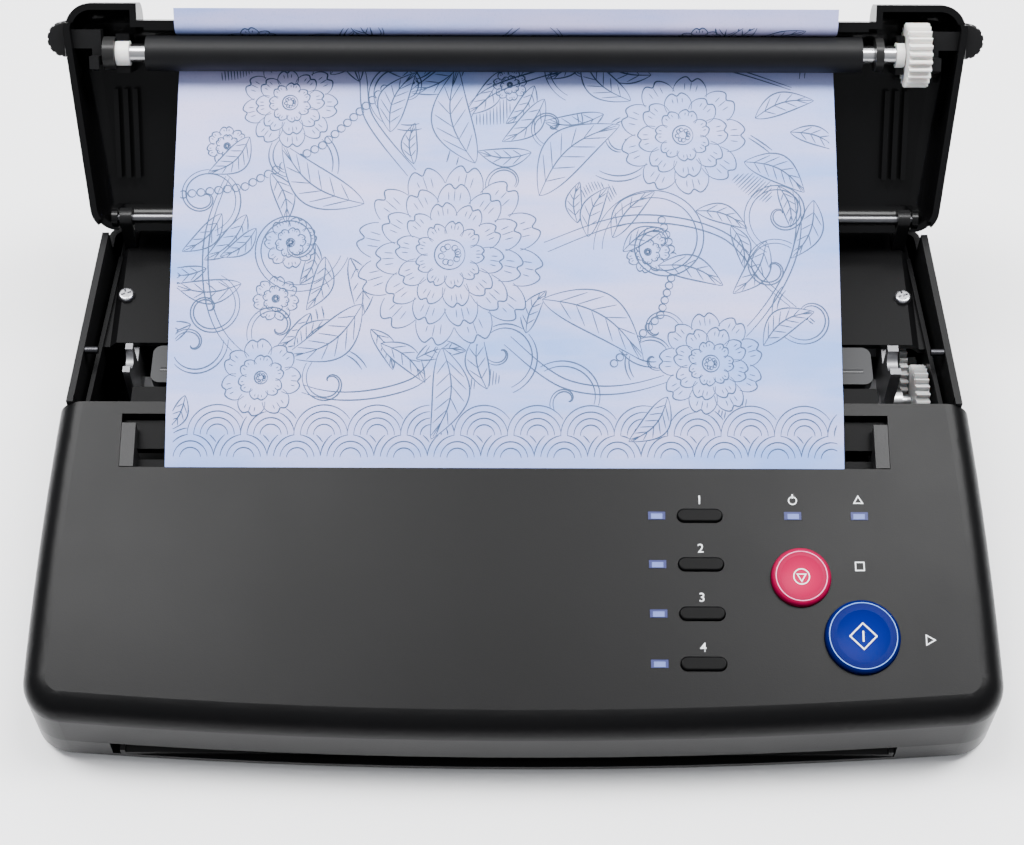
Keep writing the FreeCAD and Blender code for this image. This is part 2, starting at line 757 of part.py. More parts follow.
def make_pocket_walls():
    """Upright walls that hang from the deck's two sides and close the pockets at the casing."""
    low = deck_height - deck_channel_drop
    skirt_x = rim_rear_half_width - casing_wall - deck_groove
    skirt_slope = (rim_front_half_width - rim_rear_half_width) / cover_rear
    walls = []
    for side in (-1, 1):
        a = side * (skirt_x + skirt_slope * hinge_post_radius * 2)
        b = side * (skirt_x + skirt_slope * cover_rear)
        foot = low - pocket_depth
        corners = [Vector(a, -hinge_post_radius * 2, foot), Vector(b, -cover_rear, foot),
                   Vector(b - side * pocket_wall, -cover_rear, foot),
                   Vector(a - side * pocket_wall, -hinge_post_radius * 2, foot)]
        wall = Part.Face(Part.makePolygon(corners + corners[:1]))
        walls.append(wall.extrude(Vector(0, 0, pocket_depth + deck_channel_drop - casing_wall / 2)))
    cutters = Part.makeCompound([deck_cutters(), parts["deck_plate"]])
    return Part.makeCompound([wall.cut(cutters) for wall in walls])


parts["deck_plate"] = make_deck()
parts["pocket_walls"] = make_pocket_walls()


def pan_screw(x, y, top, length):
    """Pan-head screw whose head stands on the height top; the driver recess is left to the finish."""
    head = rod_z(x, y, top, top + screw_head_height, screw_head_radius)
    rim = [e for e in head.Edges if e.CenterOfMass.z > top + screw_head_height / 2 and e.Closed]
    head = head.makeFillet(screw_head_height * 0.6, rim)
    return joined([head, rod_z(x, y, top - length, top, screw_radius)])


deck_screw_tops = [pan_screw(side * deck_screw_x, -deck_screw_y, deck_height, screw_length) for side in (-1, 1)]
parts["deck_screws"] = Part.makeCompound(deck_screw_tops)

# Print head: ceramic heater bar on an aluminium sink, held by a steel bracket on two leaf springs

head_side = 34.4
head_length = 2 * (front_half_width - head_side)
head_centre_x = -0.8
head_front = 59.0
head_rear = 44.6
head_bar_height = 4.0
head_corner_radius = 3.0
glaze_radius = 1.2
glaze_proud = 0.25
sink_height = 7.0
sink_fin_count = 4
bracket_thickness = 1.2
head_travel = 0.8
head_spring_height = 6.0
head_spring_length = 26.0
head_spring_width = 8.0
head_spring_thickness = 0.5
head_spring_shares = (-0.55, 0.55)
bridge_thickness = 1.5
head_top = platen_closed[1] - platen_radius - platen_gap - glaze_proud
head_left = head_centre_x - head_length / 2
head_right = head_centre_x + head_length / 2
head_bottom = head_top - head_bar_height
sink_bottom = head_bottom - sink_height
bracket_bottom = sink_bottom - bracket_thickness
bridge_top = bracket_bottom - head_spring_height


def make_head_bar():
    bar = block(head_left, head_right, -head_front, -head_rear, head_bottom, head_top)
    bar = bar.makeFillet(head_corner_radius, upright_edges(bar))
    bead = rod_x(head_left + head_corner_radius, head_right - head_corner_radius, platen_closed[0],
                 head_top + glaze_proud - glaze_radius, glaze_radius)
    return joined([bar, bead])


parts["thermal_head"] = make_head_bar()


def make_heat_sink():
    inset = head_corner_radius
    sink = block(head_left + inset, head_right - inset, -head_front + rib_thickness, -head_rear - rib_thickness,
                 sink_bottom, head_bottom)
    depth = head_front - head_rear - rib_thickness * 2
    pitch = depth / (sink_fin_count + 0.5)
    grooves = []
    for n in range(sink_fin_count):
        y = -head_front + rib_thickness + (n + 0.5) * pitch
        grooves.append(block(head_left, head_right, y, y + pitch / 2, sink_bottom - overrun,
                             head_bottom - sink_height * 0.4))
    return sink.cut(Part.makeCompound(grooves))


parts["head_heat_sink"] = make_heat_sink()
bracket_front = -head_front + rib_thickness
bracket_rear = -head_rear - rib_thickness
parts["head_bracket"] = joined([
    block(head_left + head_corner_radius, head_right - head_corner_radius, bracket_front, bracket_rear,
          bracket_bottom, sink_bottom),
    block(head_left + head_corner_radius, head_right - head_corner_radius, bracket_rear,
          bracket_rear + bracket_thickness, bracket_bottom, head_bottom - part_gap),
])


def head_leaf(x):
    """Arched leaf spring between the chassis bridge and the head bracket."""
    middle_y = (bracket_front + bracket_rear) / 2
    half = head_spring_length / 2
    top = bracket_bottom - seat_gap
    low = bridge_top + seat_gap
    y0 = middle_y - head_spring_width / 2
    outer = arc(Vector(x - half, y0, low), Vector(x, y0, top), Vector(x + half, y0, low))
    t = head_spring_thickness
    inner = arc(Vector(x + half - t, y0, low), Vector(x, y0, top - t), Vector(x - half + t, y0, low))
    edges = [outer, line(Vector(x + half, y0, low), Vector(x + half - t, y0, low)), inner,
             line(Vector(x - half + t, y0, low), Vector(x - half, y0, low))]
    return Part.Face(Part.Wire(edges)).extrude(Vector(0, head_spring_width, 0))


parts["head_springs"] = Part.makeCompound([head_leaf(s * head_length / 2) for s in head_spring_shares])
bridge_drop = 12.0
parts["chassis_bridge"] = joined([
    block(frame_left_inner, frame_right, -head_front, -head_rear, bridge_top - bridge_thickness, bridge_top),
    block(frame_left_inner, frame_right, -head_front, -head_front + bridge_thickness,
          bridge_top - bridge_drop, bridge_top),
    block(frame_left_inner, frame_right, -head_rear - bridge_thickness, -head_rear,
          bridge_top - bridge_drop, bridge_top),
])

# Stepper motor on the right frame, its pinion outside

motor_size = 35.0
motor_length = 24.0
motor_corner = 4.0
motor_shaft_radius = 1.5


def make_motor():
    y, z = motor_centre
    half = motor_size / 2
    body = block(frame_right - motor_length, frame_right, y - half, y + half, z - half, z + half)
    along = [e for e in body.Edges if abs(abs(e.tangentAt(e.FirstParameter).x) - 1) < slide_gap / 10]
    body = body.makeChamfer(motor_corner, along)
    boss = rod_x(frame_right, frame_right_outer, y, z, motor_boss_radius)
    groove_x = frame_right - motor_length / 2
    belt = rod_x(groove_x - motor_length / 4, groove_x + motor_length / 4, y, z, motor_size)
    belt = belt.cut(rod_x(groove_x - motor_length / 4, groove_x + motor_length / 4, y, z, half - rib_thickness / 2))
    bore = rod_x(frame_right, frame_right_outer + overrun, y, z, motor_shaft_radius + running_gap)
    return joined([body.cut(belt), boss]).cut(bore)


parts["stepper_motor"] = make_motor()
pinion_end = gear_side + large_width + part_gap
parts["motor_shaft"] = rod_x(frame_right + slide_gap, pinion_end + overrun, motor_centre[0], motor_centre[1],
                             motor_shaft_radius)
parts["motor_pinion"] = bored_gear(pinion_teeth, gear_side, pinion_end, pinion_phase, motor_centre,
                                   motor_shaft_radius, web=False)

# Document path: feed roller, chute, scan sensor with its glass, pinch roller

feed_left_inset = 39.4
feed_roller_left = feed_left_inset - front_half_width
feed_right_inset = 45.4
feed_roller_right = front_half_width - feed_right_inset
feed_shaft_inset = 22.9
feed_shaft_left = feed_shaft_inset - front_half_width
chute_thickness = 1.5
chute_gap = 0.5
chute_flat = 3.0
chute_side = 31.5
chute_half_width = front_half_width - chute_side
chute_exit = 168.0
chute_side_height = 3.0
sensor_front = 139.0
sensor_depth = 16.0
sensor_side = 39.4
sensor_half_length = front_half_width - sensor_side
sensor_height = 9.0
glass_thickness = 1.6
glass_inset = 2.0
pinch_length = 18.0
pinch_shares = (-0.4, -0.136, 0.136, 0.4)
feed_gear_x = fine_gear_side
feed_gear_width = 4.0

feed_sleeve = rod_x(feed_roller_left, feed_roller_right, feed_centre[0], feed_centre[1], feed_roller_radius)
feed_bore = rod_x(feed_roller_left, feed_roller_right, feed_centre[0], feed_centre[1], feed_shaft_radius)
parts["feed_roller"] = feed_sleeve.cut(feed_bore)
feed_shaft_right = feed_gear_x + feed_gear_width + slide_gap
parts["feed_shaft"] = rod_x(feed_shaft_left, feed_shaft_right, feed_centre[0], feed_centre[1], feed_shaft_radius)
parts["feed_gear"] = bored_gear(feed_teeth, feed_gear_x, feed_gear_x + feed_gear_width, feed_phase, feed_centre,
                                feed_shaft_radius, web=False)


def flanged_bush(x0, x1, centre, bore, outward):
    """Plain bearing between x0 and x1 with a flange on its outward side (-1 left, 1 right)."""
    sleeve = rod_x(x0, x1, centre[0], centre[1], bore + bush_wall)
    f0 = x1 if outward > 0 else x0 - bush_flange
    flange = rod_x(f0, f0 + bush_flange, centre[0], centre[1], bore + bush_wall * 2)
    hole = rod_x(x0 - bush_flange - overrun, x1 + bush_flange + overrun, centre[0], centre[1], bore + running_gap)
    return joined([sleeve, flange]).cut(hole)


parts["feed_bushes"] = Part.makeCompound([
    flanged_bush(frame_left, frame_left_inner, feed_centre, feed_shaft_radius, -1),
    flanged_bush(frame_right, frame_right_outer, feed_centre, feed_shaft_radius, 1),
])

path_rise_y = feed_centre[0]
path_rise_z = feed_centre[1] + feed_roller_radius - chute_gap
chute_exit_z = slot_bottom + chute_thickness
chute_throat_z = recess_front_floor - (recess_rear_floor - recess_front_floor) / (recess_front - recess_back) * (
    throat_reach - recess_front) - casing_wall


def chute_z(y):
    """Height of the chute's top face at y, in front of the feed roller."""
    share = (y + chute_exit) / (path_rise_y + chute_exit)
    return chute_exit_z + share * (path_rise_z - chute_exit_z)


def make_chute():
    top = [(-chute_exit, chute_exit_z), (path_rise_y, path_rise_z), (path_rise_y + chute_flat, path_rise_z),
           (-throat_reach - part_gap, chute_throat_z)]
    bottom = [(y, z - chute_thickness) for y, z in reversed(top)]
    left = path_offset - chute_half_width
    right = path_offset + slot_width / 2 - part_gap
    plate = side_prism(top + bottom, left, right)
    sides = []
    for x0 in (left, right - chute_thickness):
        ledge = [(y, z + chute_side_height / 2) for y, z in top[:2]]
        sides.append(side_prism(ledge + [(y, z - chute_thickness) for y, z in reversed(top[:2])],
                                x0, x0 + chute_thickness))
    solid = joined([plate] + sides)
    roller_room = rod_x(feed_roller_left - overrun, feed_roller_right + overrun, feed_centre[0], feed_centre[1],
                        feed_roller_radius + part_gap)
    shaft_room = rod_x(feed_shaft_left, frame_right, feed_centre[0], feed_centre[1], feed_shaft_radius + part_gap)
    window = block(-sensor_half_length, sensor_half_length, -sensor_front + glass_inset,
                   -sensor_front + sensor_depth - glass_inset, floor_top, cover_rear_height)
    return solid.cut(Part.makeCompound([roller_room, shaft_room, window]))


parts["lower_chute"] = make_chute()
sensor_middle = -sensor_front + sensor_depth / 2
sensor_angle = math.atan2(path_rise_z - chute_exit_z, path_rise_y + chute_exit)


def on_chute(shape):
    """Places a shape drawn about the origin under the scan window, its Z square to the paper."""
    shape = shape.copy()
    shape.Placement = Placement(Vector(0, sensor_middle, chute_z(sensor_middle)),
                                Rotation(Vector(1, 0, 0), math.degrees(sensor_angle)))
    return shape


half_sensor = sensor_depth / 2 - glass_inset - part_gap
parts["scan_glass"] = on_chute(block(-sensor_half_length + part_gap, sensor_half_length - part_gap, -half_sensor,
                                     half_sensor, -chute_thickness, glass_thickness - chute_thickness))
sensor_body = block(-sensor_half_length, sensor_half_length, -sensor_depth / 2, sensor_depth / 2,
                    -chute_thickness - sensor_height, -chute_thickness)
sensor_slot = block(-sensor_half_length + glass_inset, sensor_half_length - glass_inset, -glass_inset, glass_inset,
                    -chute_thickness - sensor_height / 2, -chute_thickness + overrun)
parts["scan_sensor"] = on_chute(sensor_body.cut(sensor_slot))
feet = []
for x_share in (-0.8, 0.8):
    x = x_share * sensor_half_length
    feet.append(block(x - rib_thickness * 2, x + rib_thickness * 2, sensor_middle - glass_inset, sensor_middle
                      + glass_inset, floor_top, chute_z(sensor_middle) - (chute_thickness + sensor_height)
                      / math.cos(sensor_angle) - glass_inset))
parts["base_casing"] = joined([parts["base_casing"]] + feet)

pinch_shaft = rod_x(frame_left + slide_gap, frame_right_outer - slide_gap, pinch_centre[0], pinch_centre[1],
                    pinch_shaft_radius)
pinch_wheels = []
for share in pinch_shares:
    x = path_offset + share * recess_width
    pinch_wheels.append(rod_x(x - pinch_length / 2, x + pinch_length / 2, pinch_centre[0], pinch_centre[1],
                              pinch_radius))
parts["pinch_roller"] = joined([pinch_shaft] + pinch_wheels)

# Boards, direct current inlet and rear power switch

board_thickness = 1.6
main_board_inset = 35.4
main_board_left = main_board_inset - front_half_width
main_board_right = -18.0
main_board_front = 40.0
main_board_rear = 6.0
board_post_height = 4.0
board_post_radius = 2.6
inlet_length = 11.0
switch_depth = 13.0
rocker_throw_deg = 8.0
rocker_margin = 1.6
rocker_radius = 5.6
chip_shares = ((0.2, 0.35, 14.0, 14.0, 2.0), (0.5, 0.6, 10.0, 8.0, 1.6), (0.75, 0.3, 8.0, 8.0, 9.0),
               (0.86, 0.7, 12.0, 6.0, 6.0))
board_bottom = floor_top + board_post_height


def make_main_board():
    length = main_board_right - main_board_left
    depth = main_board_front - main_board_rear
    pieces = [block(main_board_left, main_board_right, -main_board_front, -main_board_rear, board_bottom,
                    board_bottom + board_thickness)]
    for x_share, y_share, chip_x, chip_y, chip_z in chip_shares:
        x = main_board_left + x_share * length
        y = -main_board_front + y_share * depth
        pieces.append(block(x, x + chip_x, y, y + chip_y, board_bottom + board_thickness,
                            board_bottom + board_thickness + chip_z))
    return joined(pieces)


parts["main_board"] = make_main_board()
board_inset = board_post_radius * 1.5
post_spots = [(x, y) for x in (main_board_left + board_inset, main_board_right - board_inset)
              for y in (-main_board_front + board_inset, -main_board_rear - board_inset)]
board_posts = [rod_z(x, y, floor_top, board_bottom, board_post_radius) for x, y in post_spots]
parts["base_casing"] = joined([parts["base_casing"]] + board_posts)

inlet_body = rod_y(inlet_x, rear_reach - inlet_length, rear_reach, inlet_height, inlet_radius)
inlet_block = block(inlet_x - inlet_radius, inlet_x + inlet_radius, rear_reach - inlet_length,
                    rear_reach - casing_wall - seat_gap, board_bottom + board_thickness, inlet_height)
inlet_bore = rod_y(inlet_x, rear_reach - inlet_length * 0.8, rear_reach + overrun, inlet_height, inlet_radius * 0.65)
inlet_pin = rod_y(inlet_x, rear_reach - inlet_length * 0.85, rear_reach - overrun, inlet_height, inlet_radius * 0.25)
parts["power_inlet"] = joined([joined([inlet_body, inlet_block]).cut(inlet_bore), inlet_pin])


def make_switch_frame():
    half_w = switch_width / 2
    half_h = switch_height / 2
    frame = block(switch_x - half_w, switch_x + half_w, rear_reach - switch_depth, rear_reach,
                  inlet_height - half_h, inlet_height + half_h)
    m = rocker_margin
    room = block(switch_x - half_w + m, switch_x + half_w - m, rear_reach - switch_depth + m,
                 rear_reach + overrun, inlet_height - half_h + m, inlet_height + half_h - m)
    pivot_y = rear_reach - casing_wall
    pin = rod_z(switch_x, pivot_y, inlet_height - half_h, inlet_height + half_h, m / 2)
    return joined([frame.cut(room), pin])


parts["power_switch"] = make_switch_frame()
rocker_height = switch_height - rocker_margin * 2 - slide_gap * 4
rocker_half = switch_width / 2 - rocker_margin - slide_gap * 4
rocker_pivot_y = rear_reach - casing_wall


def make_rocker():
    """Rocker about an upright pin: two slanting faces that meet over the pin."""
    rise = rocker_half * math.tan(deg(rocker_throw_deg))
    z0 = inlet_height - rocker_height / 2
    points = [(-rocker_half, -rocker_margin), (rocker_half, -rocker_margin), (rocker_half, rise + rocker_margin / 2),
              (0, rocker_margin / 2 + rise / 2), (-rocker_half, rocker_margin / 2 + rise)]
    corners = [Vector(switch_x + x, rocker_pivot_y + y, z0) for x, y in points]
    body = Part.Face(Part.makePolygon(corners + corners[:1])).extrude(Vector(0, 0, rocker_height))
    turned = body.copy()
    turned.rotate(Vector(switch_x, rocker_pivot_y, 0), Vector(0, 0, 1), rocker_throw_deg)
    bore = rod_z(switch_x, rocker_pivot_y, z0 - overrun, z0 + rocker_height + overrun,
                 rocker_margin / 2 + running_gap)
    return turned.cut(bore)


parts["power_rocker"] = make_rocker()

# Controls: four pill keys, a stop button, a copy button, lamps and the board under the panel

key_skirt = 1.2
key_flange = 0.8
key_travel = 0.8
button_travel = 1.2
button_rise = 2.4
button_dome = 1.4
button_dish = 0.5
button_groove = 0.8
lamp_rise = 0.2
key_board_drop = 5.4
switch_cap = 1.6
key_board_margin = 3.2
key_board_side = 8.0
board_post_share = 0.9
key_board_inset = 31.4
key_board_right = front_half_width - key_board_inset
under_panel = -casing_wall


def make_key(x, y):
    """Pill key: domed cap through the panel and a flange that holds it from below."""
    cap = pill(key_length, key_width, under_panel - seat_gap, key_rise)
    top = [e for e in cap.Edges if abs(e.CenterOfMass.z - key_rise) < seat_gap]
    cap = cap.makeFillet(key_rise * 0.6, top)
    flange = pill(key_length + key_skirt * 2, key_width + key_skirt * 2, under_panel - seat_gap - key_flange,
                  under_panel - seat_gap)
    return on_panel(joined([cap, flange]), x, y)


def make_button(radius, x, y):
    """Round button with a rounded rim and a slightly dished face."""
    cap = rod_z(0, 0, under_panel - seat_gap, button_rise, radius)
    rim = [e for e in cap.Edges if e.Closed and e.CenterOfMass.z > button_rise / 2]
    cap = cap.makeFillet(button_dome, rim)
    dish_radius = (radius * radius * 0.5 + button_dish * button_dish) / (2 * button_dish)
    dish = Part.makeSphere(dish_radius, Vector(0, 0, button_rise - button_dish + dish_radius))
    flange = rod_z(0, 0, under_panel - seat_gap - key_flange, under_panel - seat_gap, radius + key_skirt)
    return on_panel(joined([cap.cut(dish), flange]), x, y)


for n, (x, y) in enumerate(key_places()):
    parts["mode_key_%d" % (n + 1)] = make_key(x, y)
parts["stop_button"] = make_button(stop_radius, stop_x, stop_y)
parts["copy_button"] = make_button(copy_radius, copy_x, copy_y)


def make_lamp(x, y):
    half_l = lamp_length / 2 - seat_gap / 2
    half_w = lamp_width / 2 - seat_gap / 2
    return on_panel(block(-half_l, half_l, -half_w, half_w, -key_board_drop, lamp_rise), x, y)


parts["mode_lamps"] = Part.makeCompound([make_lamp(x, y) for x, y in lamp_places[:mode_count]])
parts["status_lamps"] = Part.makeCompound([make_lamp(x, y) for x, y in lamp_places[mode_count:]])


def make_key_board():
    """Board under the panel with a small snap switch below each key and button."""
    first = key_first - key_board_margin
    last = key_first + (mode_count - 1) * key_pitch + key_board_margin * 0.6
    middle = -(first + last) / 2
    half = (last - first) / 2
    spread = math.hypot(1, cover_slope)
    left = lamp_x - key_board_side
    board = on_panel(block(left, key_board_right, -half * spread, half * spread,
                           -key_board_drop - board_thickness, -key_board_drop), 0, middle)
    caps = []
    for x, y in key_places() + [(stop_x, stop_y), (copy_x, copy_y)]:
        caps.append(on_panel(rod_z(0, 0, -key_board_drop - seat_gap, -key_board_drop + switch_cap / 2, key_width / 2),
                             x, y))
    posts = []
    reach = half * board_post_share
    for x, along in ((left + board_post_radius, -reach), (left + board_post_radius, reach),
                     (copy_x - copy_radius * 1.5, -reach), (key_board_right - board_post_radius, reach)):
        posts.append(on_panel(rod_z(x, along, -key_board_drop, under_panel / 2, board_post_radius / 2), 0, middle))
    return joined([board] + caps), posts


key_board, key_board_posts = make_key_board()
parts["key_board"] = key_board
parts["front_cover"] = joined([parts["front_cover"]] + key_board_posts)

# Paper guides: two walls whose racks turn one pinion under the recess floor

rack_height = 3.0
rack_width = 4.0
rack_drop = 1.4
guide_pinion_teeth = 12
guide_pinion_height = 3.0
rack_spare_teeth = 6
stem_middle_y = (-guide_back - recess_front) / 2
rack_top = recess_front_floor - casing_wall - rack_drop
rack_bottom = rack_top - rack_height
guide_pinion_pitch = pitch_radius(guide_pinion_teeth)


def recess_floor_z(y):
    share = (-recess_back - y) / (recess_front - recess_back)
    return recess_rear_floor + share * (recess_front_floor - recess_rear_floor)


def rack_bar(side):
    """Toothed bar from a guide to past the pinion; side is -1 for the left guide."""
    pitch = math.pi * gear_module
    rack_y = stem_middle_y + side * (guide_pinion_pitch + slide_gap)
    outer = recess_right if side > 0 else recess_left
    start = outer - side * (guide_width / 2)
    back_y = rack_y + side * (gear_module * tooth_root_share + rack_width)
    foot_y = rack_y + side * gear_module * tooth_root_share
    tip_y = rack_y - side * gear_module
    teeth = int(guide_travel / pitch) + rack_spare_teeth
    end = path_offset - side * (teeth / 2) * pitch
    half_pitch = pitch / 4 - gear_backlash / 4
    lean = math.tan(pressure_angle)
    points = [Vector(start, back_y, rack_bottom), Vector(start, foot_y, rack_bottom)]
    xs = [path_offset + (n + 0.5) * pitch for n in range(-teeth, teeth + 1)]
    xs = [x for x in xs if abs(x - path_offset) < (teeth - 1) * pitch / 2]
    if side > 0:
        xs = xs[::-1]
    for x in xs:
        towards = -side
        wide = half_pitch + lean * gear_module * tooth_root_share
        slim = half_pitch - lean * gear_module
        points += [Vector(x - towards * wide, foot_y, rack_bottom), Vector(x - towards * slim, tip_y, rack_bottom),
                   Vector(x + towards * slim, tip_y, rack_bottom), Vector(x + towards * wide, foot_y, rack_bottom)]
    points += [Vector(end, foot_y, rack_bottom), Vector(end, back_y, rack_bottom)]
    face = Part.Face(Part.makePolygon(points + points[:1]))
    return face.extrude(Vector(0, 0, rack_height))


def make_guide(side):
    outer = recess_right if side > 0 else recess_left
    x_out = outer - side * slide_gap
    x_in = x_out - side * guide_width
    x0, x1 = min(x_out, x_in), max(x_out, x_in)
    front = -recess_front + slide_gap * 2
    rear = -guide_back
    wall = side_prism([(rear, recess_floor_z(rear) + slide_gap), (rear, cover_z(rear)),
                       (front, cover_z(front)), (front, recess_floor_z(front) + slide_gap)], x0, x1)
    rack_y = stem_middle_y + side * (guide_pinion_pitch + slide_gap + gear_module * tooth_root_share)
    stem = block(x0, x1, stem_middle_y - guide_stem / 2, stem_middle_y + guide_stem / 2, rack_bottom,
                 recess_floor_z(stem_middle_y) + guide_stem)
    arm = block(x0, x1, min(rack_y, stem_middle_y), max(rack_y, stem_middle_y), rack_bottom, rack_top)
    return joined([wall, stem, arm, rack_bar(side)])


parts["paper_guide_left"] = make_guide(-1)
parts["paper_guide_right"] = make_guide(1)
pinion_blank = toothed_wheel(guide_pinion_teeth, 0, guide_pinion_height, 0.0)
pinion_blank.rotate(Vector(0, 0, 0), Vector(0, 1, 0), -90)
guide_pin_radius = 1.5
guide_pinion = pinion_blank.copy()
guide_pinion.translate(Vector(path_offset, stem_middle_y, rack_bottom))
track_thickness = 1.5
track_post_shares = (-0.42, -0.2, 0.2, 0.42)
guide_bore = guide_pin_radius + running_gap
guide_pinion = guide_pinion.cut(rod_z(path_offset, stem_middle_y, rack_bottom - overrun, rack_top + overrun,
                                      guide_bore))
parts["guide_pinion"] = guide_pinion
boss_bottom = rack_bottom + guide_pinion_height + seat_gap
cover_boss = joined([
    rod_z(path_offset, stem_middle_y, boss_bottom, recess_floor_z(stem_middle_y) - casing_wall / 2,
          guide_pin_radius * 2),
    rod_z(path_offset, stem_middle_y, rack_bottom - seat_gap, boss_bottom, guide_pin_radius),
])
parts["front_cover"] = joined([parts["front_cover"], cover_boss])
track_top = rack_bottom - seat_gap
track_back = stem_middle_y + guide_pinion_pitch + rack_width + gear_module * 2
track_front = stem_middle_y - guide_pinion_pitch - rack_width - gear_module * 2
track = [block(recess_left + part_gap, recess_right - part_gap, track_front, track_back,
               track_top - track_thickness, track_top)]
for share in track_post_shares:
    x = path_offset + share * recess_width
    y0 = stem_middle_y - guide_stem / 2
    y1 = stem_middle_y + guide_stem / 2
    track.append(block(x - guide_stem, x + guide_stem, y0, y1, track_top,
                       recess_floor_z(y0) - casing_wall - seat_gap * 5))
parts["guide_track"] = joined(track)

# Hinge rod, catch pins, feet, casing screws

rod_inset = 17.0
rod_end = front_half_width - rod_inset
catch_pin_radius = 1.2
catch_pin_y = -48.5
catch_pin_z = 56.0
catch_pin_inset = 16.2
catch_pin_tip = front_half_width - catch_pin_inset

parts["hinge_rod"] = rod_x(-rod_end, rod_end, 0, hinge_height, hinge_rod_radius)
rim_slope = (rim_front_half_width - rim_rear_half_width) / cover_rear
catch_wall_x = rim_rear_half_width - rim_slope * (catch_pin_y + catch_pin_radius) - casing_wall - seat_gap
catch_pin = rod_x(catch_pin_tip, catch_wall_x, catch_pin_y, catch_pin_z, catch_pin_radius)
parts["catch_pins"] = Part.makeCompound([catch_pin, mirrored(catch_pin)])

foot_spots = [(x, y) for x in (-foot_inset_x, foot_inset_x) for y in (-foot_front, -foot_rear)]
parts["rubber_feet"] = Part.makeCompound([rod_z(x, y, 0, foot_height + foot_recess, foot_radius)
                                          for x, y in foot_spots])
casing_screws = []
for x, y in screw_spots:
    head = rod_z(x, y, foot_height, foot_height + screw_head_height, screw_head_radius)
    shank = rod_z(x, y, foot_height, tray_height + screw_length - slide_gap, post_bore_radius - slide_gap / 2)
    casing_screws.append(joined([head, shank]))
parts["casing_screws"] = Part.makeCompound(casing_screws)

# Lid shell, drawn level: y runs from the hinge towards the free end as negative values


def lid_half_width(y):
    slope = (lid_front_half_width - lid_rear_half_width) / lid_length
    return lid_rear_half_width - slope * y


def lid_form(length, inset):
    """Crowned block with rounded corners and edges: the lid's outside, or its inside when inset."""
    rear = lid_rear - inset
    front = -length + inset
    bottom = -lid_side_drop * 2
    outline = [Vector(-lid_half_width(rear) + inset, rear, bottom), Vector(lid_half_width(rear) - inset, rear, bottom),
               Vector(lid_half_width(front) - inset, front, bottom),
               Vector(-lid_half_width(front) + inset, front, bottom)]
    solid = Part.Face(Part.makePolygon(outline + outline[:1])).extrude(Vector(0, 0, lid_top * 3))
    upright = upright_edges(solid)
    solid = solid.makeFillet(lid_corner_radius - inset, [e for e in upright if e.CenterOfMass.y < 0])
    upright = [e for e in upright_edges(solid) if e.CenterOfMass.y > rear - lid_edge_radius / 4]
    solid = solid.makeFillet(lid_rear_corner_radius - inset, upright)
    x = -lid_front_half_width - overrun
    back = Vector(x, lid_rear + overrun, lid_top - inset)
    front_top = Vector(x, -lid_length - overrun, lid_end_top - inset)
    crown = arc(back, Vector(x, -lid_length * 0.4, lid_top + lid_crown - inset), front_top)
    low_back = Vector(x, lid_rear + overrun, bottom - overrun)
    low_front = Vector(x, -lid_length - overrun, bottom - overrun)
    wire = Part.Wire([crown, line(front_top, low_front), line(low_front, low_back), line(low_back, back)])
    solid = solid.common(Part.Face(wire).extrude(Vector(lid_front_half_width * 2 + overrun * 2, 0, 0)))
    top_edges = []
    for edge in solid.Edges:
        middle = edge.valueAt((edge.FirstParameter + edge.LastParameter) / 2)
        if middle.z > lid_end_top - inset - overrun and edge.BoundBox.ZLength < lid_crown * 2.5:
            top_edges.append(edge)
    return solid.makeFillet(lid_edge_radius - inset, top_edges)


cheek_thickness = 2.6
cheek_grip = 1.2
left_cheek_inset = 20.8
left_cheek_x = left_cheek_inset - front_half_width
left_cheek_thickness = 4.4
right_cheek_inset = 26.8
right_cheek_x = front_half_width - right_cheek_inset
ear_inset = 19.1
ear_x = front_half_width - ear_inset
ear_thickness = 1.9
ear_radius = 3.2
window_rise = 7.0
window_gap = 0.6
bush_radius = 4.1
lid_rib_shares = (-0.93, 0.9)
lid_rib_height = 2.2
lever_neck_length = 6.0
lever_neck_height = 3.0
lever_travel = 1.8
lever_thickness = 3.0
lever_inset = 16.0
lever_x = front_half_width - lever_inset
thumb_u = 58.8
thumb_radius = 5.8
thumb_height = 5.6
thumb_gap = 0.3
notch_left = path_offset - notch_width / 2
notch_right = path_offset + notch_width / 2
notch_bar_height = 2.6
notch_bar_depth = 1.0


def corner_blocks(inset):
    """Regions beside the notch, as two blocks that take the lid's full length."""
    low = -lid_side_drop * 3
    high = lid_top * 3
    left = block(-lid_front_half_width - overrun, notch_left - inset, -lid_length - overrun, lid_rear + overrun,
                 low, high)
    right = block(notch_right + inset, lid_front_half_width + overrun, -lid_length - overrun, lid_rear + overrun,
                  low, high)
    return left.fuse(right)


def lid_volume(inset):
    short = lid_form(lid_length - notch_depth, inset)
    full = lid_form(lid_length, inset)
    middle = block(notch_left - inset, notch_right + inset, -lid_length - overrun, lid_rear + overrun,
                   -lid_side_drop * 3, lid_top * 3)
    return short.common(middle).fuse(full.common(corner_blocks(inset))).removeSplitter()


def cheek(x0, thickness):
    """Bearing plate under the lid's roof, an open saddle that the platen's bush snaps into."""
    radius = bush_radius + lid_wall
    return side_prism([(-platen_distance - radius, -cheek_grip), (-platen_distance - radius, lid_top + lid_crown),
                       (-platen_distance + radius, lid_top + lid_crown), (-platen_distance + radius, -cheek_grip)],
                      x0, x0 + thickness)


def hinge_ear(x0):
    plate = side_prism([(-ear_radius, 0), (-ear_radius, lid_top + lid_crown), (lid_rear - lid_wall / 2, lid_top
                        + lid_crown), (lid_rear - lid_wall / 2, 0)], x0, x0 + ear_thickness)
    return plate.fuse(rod_x(x0, x0 + ear_thickness, 0, 0, ear_radius))


